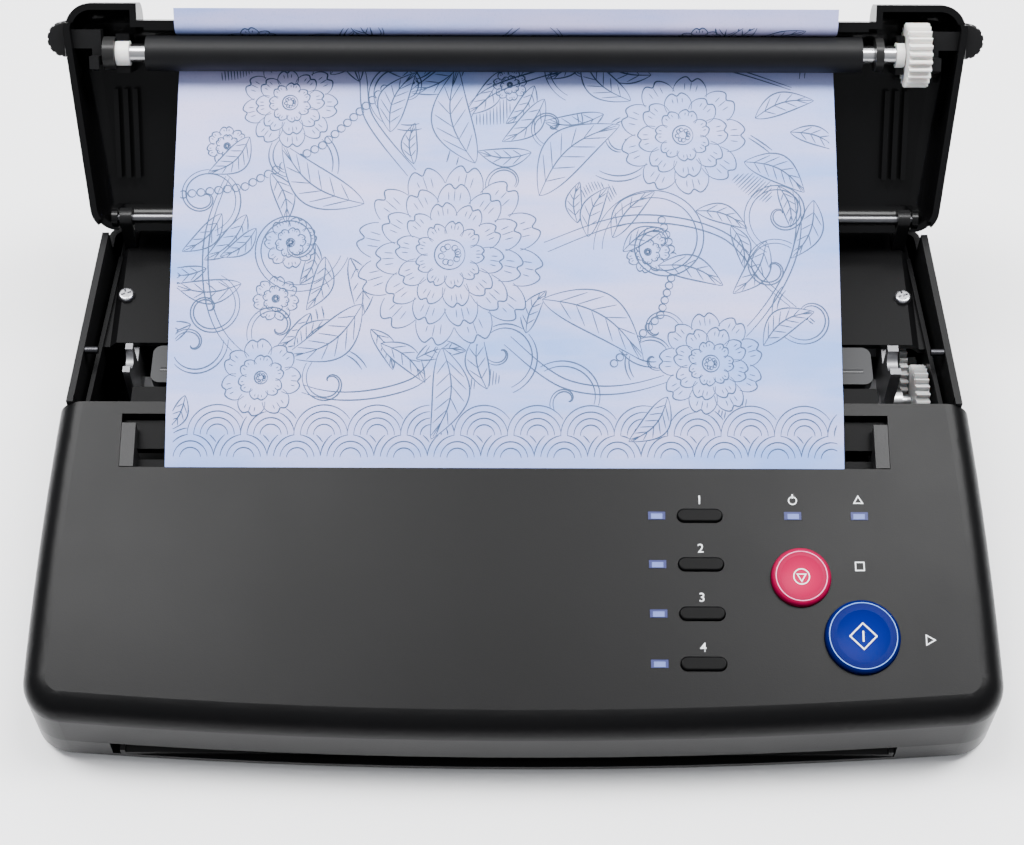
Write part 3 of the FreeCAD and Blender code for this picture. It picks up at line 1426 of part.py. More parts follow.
def make_lid_shell():
    outside = lid_volume(0)
    shell = outside.cut(lid_volume(lid_wall))
    level = -lid_side_drop
    wide = lid_front_half_width + overrun
    below = block(-wide, wide, -lid_length - overrun, lid_rear + overrun, -lid_side_drop * 3, level)
    end = block(-wide, wide, -lid_length - overrun, -lid_length + lid_end_lift, level - overrun, -lid_end_drop)
    notch_end = block(notch_left - lid_wall, notch_right + lid_wall, -lid_length - overrun,
                      -lid_length + notch_depth + lid_wall * 2, level - overrun, -lid_end_drop)
    inner_x = lid_rear_half_width - lid_wall
    rear = block(-inner_x, inner_x, 0, lid_rear + overrun, level - overrun, -lid_rear_drop)
    shell = shell.cut(below.fuse([end, notch_end, rear]))
    bar = block(notch_left + lid_wall, notch_right - lid_wall, -lid_length + notch_depth + lid_wall,
                -lid_length + notch_depth + lid_wall + notch_bar_depth, -lid_end_drop,
                -lid_end_drop + notch_bar_height)
    inside_parts = [cheek(left_cheek_x, left_cheek_thickness), cheek(right_cheek_x, cheek_thickness),
                    hinge_ear(ear_x), hinge_ear(-ear_x - ear_thickness)]
    for share in lid_rib_shares:
        x = share * lid_rear_half_width
        for n in range(3):
            rib_x = x + (n - 1) * rib_thickness * 2
            inside_parts.append(block(rib_x, rib_x + rib_thickness, -platen_distance + bush_radius * 3,
                                      -bush_radius * 3, lid_top - lid_wall - lid_rib_height,
                                      lid_top + lid_crown))
    inside_parts = [p.common(outside) for p in inside_parts]
    shell = joined([shell, bar] + inside_parts)
    cuts = []
    for x0, thickness in ((left_cheek_x, left_cheek_thickness), (right_cheek_x, cheek_thickness)):
        cuts.append(rod_x(x0 - overrun, x0 + thickness + overrun, -platen_distance, 0, bush_radius))
    for x0 in (ear_x, -ear_x - ear_thickness):
        cuts.append(rod_x(x0 - overrun, x0 + ear_thickness + overrun, 0, 0, hinge_rod_radius + running_gap))
    for side in (-1, 1):
        middle = side * (hinge_post_x + hinge_post_thickness / 2)
        half = hinge_post_thickness / 2 + window_gap
        cuts.append(block(middle - half, middle + half, 0, lid_rear + overrun, level - overrun, window_rise))
        x0, x1 = sorted((side * (lever_x + lever_thickness), side * wide))
        half_slot = lever_neck_length / 2 + part_gap
        cuts.append(block(x0, x1, -thumb_u - half_slot - lever_travel, -thumb_u + half_slot,
                          -lever_neck_height / 2 - part_gap, lever_neck_height / 2 + part_gap))
    tip_radius = pitch_radius(platen_teeth) + gear_module + part_gap
    cuts.append(rod_x(gear_side - part_gap, gear_side + gear_width + part_gap, -platen_distance, 0, tip_radius))
    return shell.cut(Part.makeCompound(cuts))


lid_parts = {"lid_shell": make_lid_shell()}

# Platen: rubber roller on a steel shaft, bushes in the lid's cheeks, gear on the right end

roller_left_inset = 30.8
roller_left = roller_left_inset - front_half_width
roller_right = roller_left + platen_length
shaft_left_inset = 16.8
platen_shaft_left = shaft_left_inset - front_half_width
shaft_right_inset = 16.3
platen_shaft_right = front_half_width - shaft_right_inset
collar_radius = 5.4
stop_collar_width = 2.6

roller = rod_x(roller_left, roller_right, -platen_distance, 0, platen_radius)
lid_parts["platen_roller"] = roller.cut(rod_x(roller_left, roller_right, -platen_distance, 0, shaft_radius))
lid_parts["platen_shaft"] = rod_x(platen_shaft_left, platen_shaft_right, -platen_distance, 0, shaft_radius)


def shaft_ring(x0, x1, outer, inner):
    ring = rod_x(x0, x1, -platen_distance, 0, outer)
    return ring.cut(rod_x(x0 - overrun, x1 + overrun, -platen_distance, 0, inner))


bush_bore = shaft_radius + running_gap
lid_parts["platen_bushes"] = Part.makeCompound([
    shaft_ring(left_cheek_x, left_cheek_x + left_cheek_thickness, bush_radius, bush_bore),
    shaft_ring(right_cheek_x, right_cheek_x + cheek_thickness, bush_radius, bush_bore),
])
right_collar_x = frame_right - part_gap - stop_collar_width
lid_parts["shaft_collars"] = Part.makeCompound([
    shaft_ring(platen_shaft_left, left_cheek_x - slide_gap, collar_radius, shaft_radius),
    shaft_ring(right_collar_x, right_collar_x + stop_collar_width, collar_radius, shaft_radius),
])
lid_parts["platen_gear"] = bored_gear(platen_teeth, gear_side, gear_side + gear_width, platen_phase - tilt,
                                      (-platen_distance, 0), shaft_radius)

# Lid latches: sliding levers with a ribbed thumb tab outside and a hook under the catch pin

catch_local_y = catch_pin_y * math.cos(tilt) + (catch_pin_z - hinge_height) * math.sin(tilt)
catch_local_z = -catch_pin_y * math.sin(tilt) + (catch_pin_z - hinge_height) * math.cos(tilt)
hook_shank = 3.0
hook_tooth = 1.6
lever_roof = 3.4
thumb_notch_count = 7
thumb_notch_depth = 0.5
hook_reach = 1.8


def make_lever():
    """Right-hand latch lever, level as the lid is drawn."""
    x0, x1 = lever_x, lever_x + lever_thickness
    front = -thumb_u - lever_neck_length / 2
    shank_front = catch_local_y - catch_pin_radius - part_gap - hook_shank
    shank_rear = catch_local_y - catch_pin_radius - part_gap
    tooth_top = catch_local_z - catch_pin_radius - part_gap
    tooth_bottom = tooth_top - hook_tooth
    points = [(front, -lever_neck_height / 2), (front, lever_roof), (shank_rear, lever_roof),
              (shank_rear, tooth_top), (shank_rear + hook_reach, tooth_top),
              (shank_rear + hook_reach * 0.6, tooth_bottom), (shank_front, tooth_bottom),
              (shank_front, -lever_neck_height / 2)]
    plate = side_prism(points, x0, x1)
    wall_x = lid_half_width(-thumb_u)
    neck = block(x1 - slide_gap, wall_x + thumb_gap * 2, front, front + lever_neck_length,
                 -lever_neck_height / 2, lever_neck_height / 2)
    disc = rod_z(wall_x + thumb_gap, -thumb_u, -thumb_height / 2, thumb_height / 2, thumb_radius)
    edges = [e for e in disc.Edges if e.Closed]
    disc = disc.makeFillet(thumb_height / 6, edges)
    half_disc = disc.common(block(wall_x + thumb_gap, wall_x + thumb_radius * 2, -lid_length, 0, -lid_top, lid_top))
    grooves = []
    for n in range(thumb_notch_count):
        angle = deg(-90 + 180 * (n + 0.5) / thumb_notch_count)
        gx = wall_x + thumb_gap + thumb_radius * math.cos(angle)
        gy = -thumb_u + thumb_radius * math.sin(angle)
        grooves.append(rod_z(gx, gy, -thumb_height, thumb_height, thumb_notch_depth))
    return joined([plate, neck, half_disc.cut(Part.makeCompound(grooves))])


latch_lever = make_lever()
lid_parts["latch_lever_right"] = latch_lever
lid_parts["latch_lever_left"] = mirrored(latch_lever)

# The loaded sheet: up from the throat, round the back of the open lid's platen, over the notch

sheet_clearance = 0.35
nip = (feed_centre[0], feed_centre[1] + feed_roller_radius + sheet_thickness / 2)
sheet_tail = 1.5
sheet_lead = 1.4
throat_point = (-96.5, 43.4)
lip_point = (-71.5, 55.9)
notch_point = (-60.8, -2.9)
sheet_tip = (-71.2, -4.4)
sheet_bends = (3.0, 10.0, 30.0, platen_radius + sheet_clearance, 4.0)
rest_angle_deg = lid_closed_tilt_deg - lid_travel_deg


def at_rest(y, z):
    """A point of the lid's own frame, where the lid rests open."""
    turn = deg(rest_angle_deg)
    return (y * math.cos(turn) - z * math.sin(turn), hinge_height + y * math.sin(turn) + z * math.cos(turn))


def bearing(a, b):
    return math.atan2(b[1] - a[1], b[0] - a[0])


def wrap_corner(before, centre, after, radius):
    """Where the two tangents of a roller meet, one from each neighbour, for a sheet round its back."""
    def tangent_angle(point, turn):
        distance = math.hypot(point[0] - centre[0], point[1] - centre[1])
        return bearing(centre, point) + turn * math.acos(radius / distance)

    first = tangent_angle(before, 1)
    last = tangent_angle(after, -1)
    while last < first:
        last += 2 * math.pi
    middle = (first + last) / 2
    reach = radius / math.cos((last - first) / 2)
    return (centre[0] + reach * math.cos(middle), centre[1] + reach * math.sin(middle))


def side_edges(points, bends, offset, x):
    """Edges along a polyline with rounded corners, moved sideways by offset; also its two ends."""
    angles = [bearing(a, b) for a, b in zip(points, points[1:])]
    here = (points[0][0] - offset * math.sin(angles[0]), points[0][1] + offset * math.cos(angles[0]))
    start = here
    edges = []
    for corner, bend, a0, a1 in zip(points[1:], bends, angles, angles[1:]):
        turn = a1 - a0
        sign = math.copysign(1, turn)
        radius = bend - sign * offset
        centre_reach = bend / math.cos(turn / 2)
        middle = (a0 + a1) / 2 + sign * math.pi / 2
        cy = corner[0] + centre_reach * math.cos(middle)
        cz = corner[1] + centre_reach * math.sin(middle)
        spots = [(cy - radius * math.cos(a + sign * math.pi / 2), cz - radius * math.sin(a + sign * math.pi / 2))
                 for a in (a0, (a0 + a1) / 2, a1)]
        edges.append(line(Vector(x, *here), Vector(x, *spots[0])))
        edges.append(arc(*[Vector(x, *spot) for spot in spots]))
        here = spots[2]
    end = (points[-1][0] - offset * math.sin(angles[-1]), points[-1][1] + offset * math.cos(angles[-1]))
    edges.append(line(Vector(x, *here), Vector(x, *end)))
    return edges, start, end


def make_sheet():
    roller_centre = at_rest(-platen_distance, 0)
    over_notch = at_rest(*notch_point)
    corner = wrap_corner(lip_point, roller_centre, over_notch, platen_radius + sheet_clearance)
    points = [(nip[0] - sheet_tail, nip[1]), (nip[0] + sheet_lead, nip[1]), throat_point, lip_point, corner,
              over_notch, at_rest(*sheet_tip)]
    x = path_offset - sheet_width / 2
    upper, upper_start, upper_end = side_edges(points, sheet_bends, sheet_thickness / 2, x)
    lower, lower_start, lower_end = side_edges(points, sheet_bends, -sheet_thickness / 2, x)
    closing = [line(Vector(x, *upper_start), Vector(x, *lower_start)),
               line(Vector(x, *upper_end), Vector(x, *lower_end))]
    return plan_face(upper + lower + closing).extrude(Vector(sheet_width, 0, 0))


parts["stencil_sheet"] = make_sheet()

# Everything is moved so that the origin is the middle of the footprint, and written out

for name, shape in lid_parts.items():
    opened = shape.copy()
    opened.rotate(Vector(0, 0, 0), Vector(1, 0, 0), rest_angle_deg)
    opened.translate(Vector(0, 0, hinge_height))
    parts[name] = opened

rear_most = parts["lid_shell"].optimalBoundingBox().YMax
origin_shift = Vector(0, (front_reach - rear_most) / 2, 0)
os.makedirs("parts", exist_ok=True)
for name, shape in parts.items():
    placed = shape.copy()
    placed.translate(origin_shift)
    placed.exportStep("parts/%s.step" % name)
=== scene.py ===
import json
import math

import bpy
from mathutils import Matrix, Vector


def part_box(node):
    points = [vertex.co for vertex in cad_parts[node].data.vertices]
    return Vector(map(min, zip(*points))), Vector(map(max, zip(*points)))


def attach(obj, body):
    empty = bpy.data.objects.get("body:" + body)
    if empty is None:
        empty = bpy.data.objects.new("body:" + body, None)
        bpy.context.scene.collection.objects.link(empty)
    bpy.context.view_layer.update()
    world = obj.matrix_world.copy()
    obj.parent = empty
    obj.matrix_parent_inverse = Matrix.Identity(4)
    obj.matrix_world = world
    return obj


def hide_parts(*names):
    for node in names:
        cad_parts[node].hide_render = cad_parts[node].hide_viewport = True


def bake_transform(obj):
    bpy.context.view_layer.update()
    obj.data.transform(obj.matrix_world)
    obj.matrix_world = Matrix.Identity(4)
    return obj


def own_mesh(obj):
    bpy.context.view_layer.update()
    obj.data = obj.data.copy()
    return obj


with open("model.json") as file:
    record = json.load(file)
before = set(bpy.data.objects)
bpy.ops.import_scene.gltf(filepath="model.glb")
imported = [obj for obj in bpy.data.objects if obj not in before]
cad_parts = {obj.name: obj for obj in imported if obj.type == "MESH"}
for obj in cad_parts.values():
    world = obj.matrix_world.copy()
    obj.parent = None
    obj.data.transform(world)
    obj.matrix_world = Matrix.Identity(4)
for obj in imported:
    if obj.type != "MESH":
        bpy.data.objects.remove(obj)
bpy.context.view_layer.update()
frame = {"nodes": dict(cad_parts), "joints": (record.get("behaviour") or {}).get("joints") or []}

nodes = frame["nodes"]
bpy.ops.object.select_all(action="DESELECT")

# Camera: above and in front of the machine, as a person leaning over it would look down on the
# panel and into the open lid. Its place and lens were fitted, its downward angle guessed.
hinge = next(j for j in frame["joints"] if j["name"] == "lid_hinge")
hinge_y, hinge_z = hinge["pos_m"][1], hinge["pos_m"][2]
picture_width = 1024
focal_pixels = 2100
sensor_width = 36.0
look_down = math.radians(57.0)
camera_back = 0.4393
camera_height = 0.6153
camera_side = 0.0007
camera_heading = math.radians(0.21)

bpy.ops.object.camera_add(location=(camera_side, hinge_y - camera_back, camera_height),
                          rotation=(math.pi / 2 - look_down, 0, camera_heading))
camera = bpy.context.object
camera.name = "camera"
camera.data.lens = focal_pixels / picture_width * sensor_width
camera.data.sensor_width = sensor_width
camera.data.clip_start = 0.01
bpy.context.scene.camera = camera

# Floor and light: a pale seamless table. Two narrow soft lights high on the left and the right give
# the panel its brighter sides and darker middle, and a wide soft light behind fills in the rest.
floor_side = 8.0
floor_colour = (0.9, 0.9, 0.91, 1.0)
room_dim = (0.5, 0.52, 0.55, 1.0)
room_bright = (0.96, 0.97, 1.0, 1.0)
room_strength = 0.9
soft_lights = (
    ("overhead", (0.0, 2.2, 2.3), (0.0, 0.6, 0.0), 4.6, 2.0, 75.0),
    ("left", (-0.95, 0.35, 2.0), (-0.1, 0.0, 0.05), 0.6, 1.6, 95.0),
    ("right", (0.95, 0.35, 2.0), (0.1, 0.0, 0.05), 0.6, 1.6, 95.0),
)


class Wire:
    """One socket of a material's nodes. Adding, multiplying and so on adds the Math node for it."""

    def __init__(self, recipe, socket):
        self.recipe = recipe
        self.socket = socket

    def maths(self, operation, other, flipped=False):
        first, second = (other, self) if flipped else (self, other)
        return self.recipe.node("ShaderNodeMath", {"operation": operation}, {0: first, 1: second})

    def __add__(self, other):
        return self.maths("ADD", other)

    def __radd__(self, other):
        return self.maths("ADD", other, True)

    def __sub__(self, other):
        return self.maths("SUBTRACT", other)

    def __rsub__(self, other):
        return self.maths("SUBTRACT", other, True)

    def __mul__(self, other):
        return self.maths("MULTIPLY", other)

    def __rmul__(self, other):
        return self.maths("MULTIPLY", other, True)

    def __truediv__(self, other):
        return self.maths("DIVIDE", other)

    def __rtruediv__(self, other):
        return self.maths("DIVIDE", other, True)

    def __lt__(self, other):
        return self.maths("LESS_THAN", other)

    def __gt__(self, other):
        return self.maths("GREATER_THAN", other)


class Recipe:
    """A material and the calls that fill in its nodes."""

    def __init__(self, name):
        self.material = bpy.data.materials.new(name)
        self.material.use_nodes = True
        self.tree = self.material.node_tree
        self.surface = self.tree.nodes["Principled BSDF"]
        self.place = self.node("ShaderNodeTexCoord", {}, {}, "Object")

    def plug(self, socket, value):
        if isinstance(value, Wire):
            self.tree.links.new(value.socket, socket)
        else:
            socket.default_value = value

    def node(self, kind, settings, values, output=0):
        """Adds one node: its settings first, then its inputs, and gives back one output."""
        node = self.tree.nodes.new(kind)
        for name, value in settings.items():
            setattr(node, name, value)
        for name, value in values.items():
            self.plug(node.inputs[name], value)
        return Wire(self, node.outputs[output])

    def noise(self, scale, detail=3.0, place=None):
        return self.node("ShaderNodeTexNoise", {}, {
            "Vector": place or self.place, "Scale": scale, "Detail": detail})

    def stretched(self, x, y, z):
        return self.node("ShaderNodeMapping", {}, {"Vector": self.place, "Scale": (x, y, z)})

    def blend(self, share, dark, light):
        """A colour between two, by a share from 0 to 1."""
        return self.node("ShaderNodeMix", {"data_type": "RGBA"}, {0: share, 6: dark, 7: light}, 2)

    def bump(self, height, distance, strength=1.0):
        self.plug(self.surface.inputs["Normal"], self.node(
            "ShaderNodeBump", {}, {"Height": height, "Distance": distance, "Strength": strength}))

    def set(self, **values):
        for name, value in values.items():
            self.plug(self.surface.inputs[name.replace("_", " ")], value)
        return self.material


def wear(material, *names):
    """Gives CAD nodes, or new pieces, a material in place of the one they have."""
    for name in names:
        thing = nodes[name] if isinstance(name, str) else name
        thing.data.materials.clear()
        thing.data.materials.append(material)


def tint(colour, factor):
    return tuple(c * factor for c in colour[:3]) + (1.0,)


bpy.ops.mesh.primitive_plane_add(size=floor_side)
floor = bpy.context.object
floor.name = "studio_floor"
recipe = Recipe("pale table")
recipe.set(Base_Color=recipe.blend(recipe.noise(3.0), tint(floor_colour, 0.98), floor_colour), Roughness=0.14)
wear(recipe.material, floor)

world = bpy.data.worlds.new("studio")
bpy.context.scene.world = world
world.use_nodes = True
backdrop = world.node_tree
direction = backdrop.nodes.new("ShaderNodeTexCoord")
sky = backdrop.nodes.new("ShaderNodeSeparateXYZ")
ramp = backdrop.nodes.new("ShaderNodeValToRGB")
ramp.color_ramp.elements[0].position = 0.25
ramp.color_ramp.elements[0].color = room_dim
ramp.color_ramp.elements[1].position = 0.8
ramp.color_ramp.elements[1].color = room_bright
backdrop.links.new(direction.outputs["Generated"], sky.inputs[0])
backdrop.links.new(sky.outputs["Z"], ramp.inputs["Fac"])
backdrop.links.new(ramp.outputs["Color"], backdrop.nodes["Background"].inputs["Color"])
backdrop.nodes["Background"].inputs["Strength"].default_value = room_strength
for name, spot, target, wide, deep, power in soft_lights:
    bpy.ops.object.light_add(type="AREA", location=spot)
    lamp = bpy.context.object
    lamp.name = name + "_light"
    lamp.rotation_euler = (Vector(target) - Vector(spot)).to_track_quat("-Z", "Y").to_euler()
    lamp.data.shape = "RECTANGLE"
    lamp.data.size = wide
    lamp.data.size_y = deep
    lamp.data.energy = power

# Base casing: black moulded tray and rear body, satin, with the fine even grain that the mould
# leaves. The deck plate, guide track and lower chute are moulded in the same way, a little duller.


def moulding(name, colour, roughness, grain=1400.0, depth=0.00003, patch=0.12, shine=0.14):
    """Moulded plastic: faint patches in colour and polish, and the fine grain of the mould."""
    recipe = Recipe(name)
    recipe.surface.inputs["Specular IOR Level"].default_value = shine
    patches = recipe.noise(22.0, 4.0)
    colour = recipe.blend(patches, tint(colour, 1.0 - patch), tint(colour, 1.0 + patch))
    recipe.bump(recipe.noise(grain, 2.0), depth)
    return recipe.set(Base_Color=colour, Roughness=roughness + (patches - 0.5) * 0.12)


wear(moulding("casing satin black", (0.006, 0.006, 0.0063), 0.32), "base_casing")
wear(moulding("deck black", (0.003, 0.003, 0.0032), 0.3, shine=0.1), "deck_plate", "pocket_walls")
wear(moulding("chute black", (0.006, 0.006, 0.006), 0.4), "lower_chute", "guide_track")
wear(moulding("inlet black", (0.012, 0.012, 0.012), 0.3), "power_inlet", "power_switch")
wear(moulding("sensor black", (0.014, 0.014, 0.014), 0.5), "scan_sensor")

# Front cover: one moulding with a finer, softer satin than the base. Its panel and its front wall
# catch the light as an even dark grey, and the rounded edge between them looks black.
cover_colour = (0.002, 0.002, 0.0022)
wear(moulding("cover soft black", cover_colour, 0.33, 2200.0, 0.00002, 0.08, 0.09), "front_cover")
wear(moulding("guide black", (0.009, 0.009, 0.0095), 0.36), "paper_guide_left", "paper_guide_right")

# Lid shell: the same plastic polished in the mould to a gloss. Faint slow waves in the mirror are
# all that breaks it.


def polish(name, colour, roughness, coat=0.6, shine=0.3):
    """Glossy moulded plastic with slow waves in its surface."""
    recipe = Recipe(name)
    recipe.surface.inputs["Specular IOR Level"].default_value = shine
    waves = recipe.noise(14.0, 2.0)
    recipe.bump(waves, 0.0004, 0.25)
    recipe.surface.inputs["Coat Roughness"].default_value = 0.08
    shade = recipe.blend(waves, tint(colour, 0.85), tint(colour, 1.15))
    return recipe.set(Base_Color=shade, Roughness=roughness + waves * 0.08, Coat_Weight=coat)


wear(polish("lid gloss black", (0.002, 0.002, 0.0022), 0.22, 0.08, 0.12), "lid_shell")
wear(moulding("lever black", (0.006, 0.006, 0.0063), 0.3), "latch_lever_left", "latch_lever_right")

# Metals: ground steel shafts and hinge rod, turned pins and screws, pressed plates, the aluminium
# heat sink, the motor's can and its brass pinion.


def steel(name, colour, roughness, along=(1.0, 260.0, 260.0)):
    """Worked metal: fine lines, as long as the stretch makes them, and a slow change of shade."""
    recipe = Recipe(name)
    lines = recipe.noise(12.0, 4.0, recipe.stretched(*along))
    shade = recipe.blend(lines, tint(colour, 0.8), tint(colour, 1.1))
    recipe.bump(lines, 0.00003, 0.4)
    return recipe.set(Base_Color=shade, Roughness=roughness + (lines - 0.5) * 0.15, Metallic=1.0)


wear(steel("ground steel", (0.5, 0.5, 0.51), 0.24), "platen_shaft", "feed_shaft", "motor_shaft")
# The hinge rod gets a darker steel than the shafts.
wear(steel("darker hinge steel", (0.16, 0.16, 0.17), 0.3), "hinge_rod")
wear(steel("turned steel", (0.5, 0.5, 0.51), 0.3, (200.0, 40.0, 40.0)), "gear_pins", "casing_screws")
wear(steel("blackened pins", (0.05, 0.05, 0.055), 0.35, (200.0, 40.0, 40.0)), "catch_pins")
wear(steel("black spring steel", (0.12, 0.12, 0.13), 0.35), "gear_clips")
wear(steel("plated sheet", (0.3, 0.3, 0.31), 0.42, (30.0, 30.0, 30.0)), "head_bracket", "chassis_bridge")
wear(steel("frame sheet", (0.2, 0.2, 0.21), 0.42, (30.0, 30.0, 30.0)), "side_frame_left", "side_frame_right")
wear(steel("extruded aluminium", (0.5, 0.51, 0.52), 0.4, (2.0, 300.0, 300.0)), "head_heat_sink")
wear(steel("motor can", (0.08, 0.08, 0.085), 0.45, (60.0, 20.0, 20.0)), "stepper_motor")
wear(steel("brass", (0.62, 0.45, 0.2), 0.3, (60.0, 20.0, 20.0)), "motor_pinion")

# Rollers: ground rubber on the platen and the feed roller, with fine rings left by the wheel,
# rubber feet, and hard white wheels on the pinch roller.


def rubber(name, colour, roughness, rings=900.0):
    """Ground rubber: close rings round the roller and a dusty bloom."""
    recipe = Recipe(name)
    recipe.surface.inputs["Specular IOR Level"].default_value = 0.15
    bloom = recipe.noise(60.0, 5.0)
    ring = recipe.noise(rings, 2.0, recipe.stretched(1.0, 0.03, 0.03))
    recipe.bump(ring + bloom * 0.5, 0.00005, 0.6)
    shade = recipe.blend(bloom, tint(colour, 0.8), tint(colour, 1.25))
    return recipe.set(Base_Color=shade, Roughness=roughness + (ring - 0.5) * 0.1)


wear(rubber("platen rubber", (0.004, 0.0041, 0.0046), 0.5), "platen_roller", "feed_roller")
wear(rubber("foot rubber", (0.012, 0.012, 0.012), 0.75), "rubber_feet")

# Gears and bushes: white acetal on the platen and the guides, and on the gears inside the same acetal painted
# grey as painted shade, both slightly see-through at thin teeth. The collars and the feed roller's bushes are
# black.


def acetal(name, colour, roughness):
    recipe = Recipe(name)
    cloud = recipe.noise(90.0, 3.0)
    recipe.surface.inputs["Subsurface Weight"].default_value = 0.15
    recipe.surface.inputs["Subsurface Scale"].default_value = 0.002
    recipe.bump(recipe.noise(700.0), 0.00003)
    shade = recipe.blend(cloud, tint(colour, 0.93), tint(colour, 1.04))
    return recipe.set(Base_Color=shade, Roughness=roughness + cloud * 0.08)


wear(acetal("white acetal", (0.74, 0.73, 0.7), 0.34), "platen_gear", "platen_bushes", "guide_pinion",
     "pinch_roller")
# Painted shade: the gears low inside get a grey in place of the acetal's white.
wear(acetal("acetal darkened as painted shade", (0.3, 0.3, 0.3), 0.4), "drive_gear", "reduction_gear", "feed_idler_gear",
     "feed_gear")
wear(moulding("collar black", (0.012, 0.012, 0.012), 0.3), "shaft_collars", "feed_bushes")

# Print head: a dark ceramic bar, with a glazed bead along its top.
wear(polish("head glaze", (0.014, 0.0145, 0.016), 0.3, 0.2), "thermal_head")

# Boards and the scan window behind the paper path.


def board(name, colour):
    """Circuit board: lacquer over faint copper tracks."""
    recipe = Recipe(name)
    tracks = recipe.node("ShaderNodeTexBrick", {"offset": 0.5}, {"Vector": recipe.place, "Scale": 120.0,
                         "Mortar Size": 0.04}, 1)
    shade = recipe.blend(tracks, colour, tint(colour, 1.8))
    return recipe.set(Base_Color=shade, Roughness=0.35 + recipe.noise(80.0) * 0.1)


wear(board("green board", (0.01, 0.07, 0.035, 1.0)), "main_board", "key_board")
recipe = Recipe("scan window")
recipe.surface.inputs["Transmission Weight"].default_value = 0.9
wear(recipe.set(Base_Color=recipe.blend(recipe.noise(40.0), (0.8, 0.86, 0.86, 1), (0.88, 0.93, 0.93, 1)),
                Roughness=0.05 + recipe.noise(300.0) * 0.03), "scan_glass")

# Controls: polished black pill keys, a pink stop button and a blue start button, small violet lamp
# windows, and the black rocker at the back.


def candy(name, node, deep, bright, roughness=0.2):
    """Coloured button with painted light and shade: lighter in the middle and darker towards the rim."""
    low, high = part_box(node)
    middle = [-(a + b) / 2 for a, b in zip(low, high)]
    recipe = Recipe(name)
    recipe.surface.inputs["Specular IOR Level"].default_value = 0.02
    cloud = recipe.noise(45.0, 3.0)
    centred = recipe.node("ShaderNodeMapping", {}, {"Vector": recipe.place, "Location": middle})
    rim = (high[0] - low[0]) / 2
    out = recipe.node("ShaderNodeVectorMath", {"operation": "LENGTH"}, {0: centred}, 1) / rim
    recipe.bump(recipe.noise(500.0), 0.00002)
    # Painted light and shade: the cube of the distance from the middle darkens the colour towards the rim.
    return recipe.set(Base_Color=recipe.blend(out * out * out * 0.85 + cloud * 0.12, bright, deep),
                      Roughness=roughness + cloud * 0.06)


wear(polish("key black", (0.001, 0.001, 0.0011), 0.3, 0.0, 0.05), "mode_key_1", "mode_key_2",
     "mode_key_3", "mode_key_4", "power_rocker")
wear(candy("stop pink with painted shade", "stop_button", (0.08, 0.0005, 0.014, 1), (0.36, 0.0015, 0.05, 1)), "stop_button")
wear(candy("start blue with painted shade", "copy_button", (0.0004, 0.0015, 0.02, 1), (0.0005, 0.006, 0.12, 1)), "copy_button")


def lamp_window(name, colour, glow):
    recipe = Recipe(name)
    recipe.surface.inputs["Specular IOR Level"].default_value = 0.08
    cloud = recipe.noise(240.0)
    recipe.surface.inputs["Emission Strength"].default_value = glow
    shade = recipe.blend(cloud, tint(colour, 0.8), tint(colour, 1.15))
    return recipe.set(Base_Color=shade, Emission_Color=shade, Roughness=0.25 + cloud * 0.1)


wear(lamp_window("lamp violet", (0.03, 0.035, 0.11), 0.1), "mode_lamps", "status_lamps")

# Deck screws: two zinc-plated pan-head screws with a cross recess. The head is a short bar with its
# upper edge rolled over by a bevel, and the cross is sunk into it by a boolean.
low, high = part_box("deck_screws")
screw_radius = (high[1] - low[1]) / 2
screw_y = (low[1] + high[1]) / 2
screw_spots = [(low[0] + screw_radius, screw_y), (high[0] - screw_radius, screw_y)]
head_depth = 0.0016
roll_over = 0.0011
recess_reach = 0.62
recess_slot = 0.0007
recess_depth = 0.0008
shank_radius = 0.0012
heads = []
for x, y in screw_spots:
    bpy.ops.object.select_all(action="DESELECT")
    bpy.ops.mesh.primitive_cylinder_add(vertices=56, radius=screw_radius, depth=head_depth)
    screw = bpy.context.object
    bpy.ops.object.mode_set(mode="EDIT")
    bpy.ops.mesh.select_all(action="DESELECT")
    bpy.ops.object.mode_set(mode="OBJECT")
    for face in screw.data.polygons:
        face.select = face.normal.z > 0.9
    bpy.ops.object.mode_set(mode="EDIT")
    bpy.ops.mesh.bevel(offset=roll_over, segments=6, profile=0.5)
    bpy.ops.object.mode_set(mode="OBJECT")
    for turn in (0.35, 0.35 + math.pi / 2):
        bpy.ops.mesh.primitive_cube_add(size=1.0, rotation=(0, 0, turn), location=(0, 0, head_depth / 2))
        cutter = bpy.context.object
        cutter.scale = (screw_radius * recess_reach * 2, recess_slot, recess_depth * 2)
        cut = screw.modifiers.new("cross", "BOOLEAN")
        cut.operation = "DIFFERENCE"
        cut.object = cutter
        bpy.context.view_layer.objects.active = screw
        bpy.ops.object.modifier_apply(modifier=cut.name)
        bpy.data.objects.remove(cutter)
    bpy.ops.mesh.primitive_cylinder_add(vertices=28, radius=shank_radius, depth=high[2] - low[2] - head_depth,
                                        location=(0, 0, -(high[2] - low[2]) / 2))
    shank = bpy.context.object
    bpy.ops.object.transform_apply(location=True, rotation=True, scale=True)
    bpy.ops.object.select_all(action="DESELECT")
    shank.select_set(True)
    screw.select_set(True)
    bpy.context.view_layer.objects.active = screw
    bpy.ops.object.join()
    screw.data.transform(Matrix.Translation((x, y, high[2] - head_depth / 2)))
    heads.append(screw)
bpy.ops.object.select_all(action="DESELECT")
for screw in heads:
    screw.select_set(True)
bpy.context.view_layer.objects.active = heads[0]
bpy.ops.object.join()
bpy.ops.object.shade_smooth_by_angle(angle=math.radians(35))
screws = bpy.context.object
screws.name = "deck_pan_screws"
wear(steel("zinc plate", (0.42, 0.42, 0.44), 0.3, (60.0, 60.0, 60.0)), screws)
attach(screws, "body")
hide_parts("deck_screws")
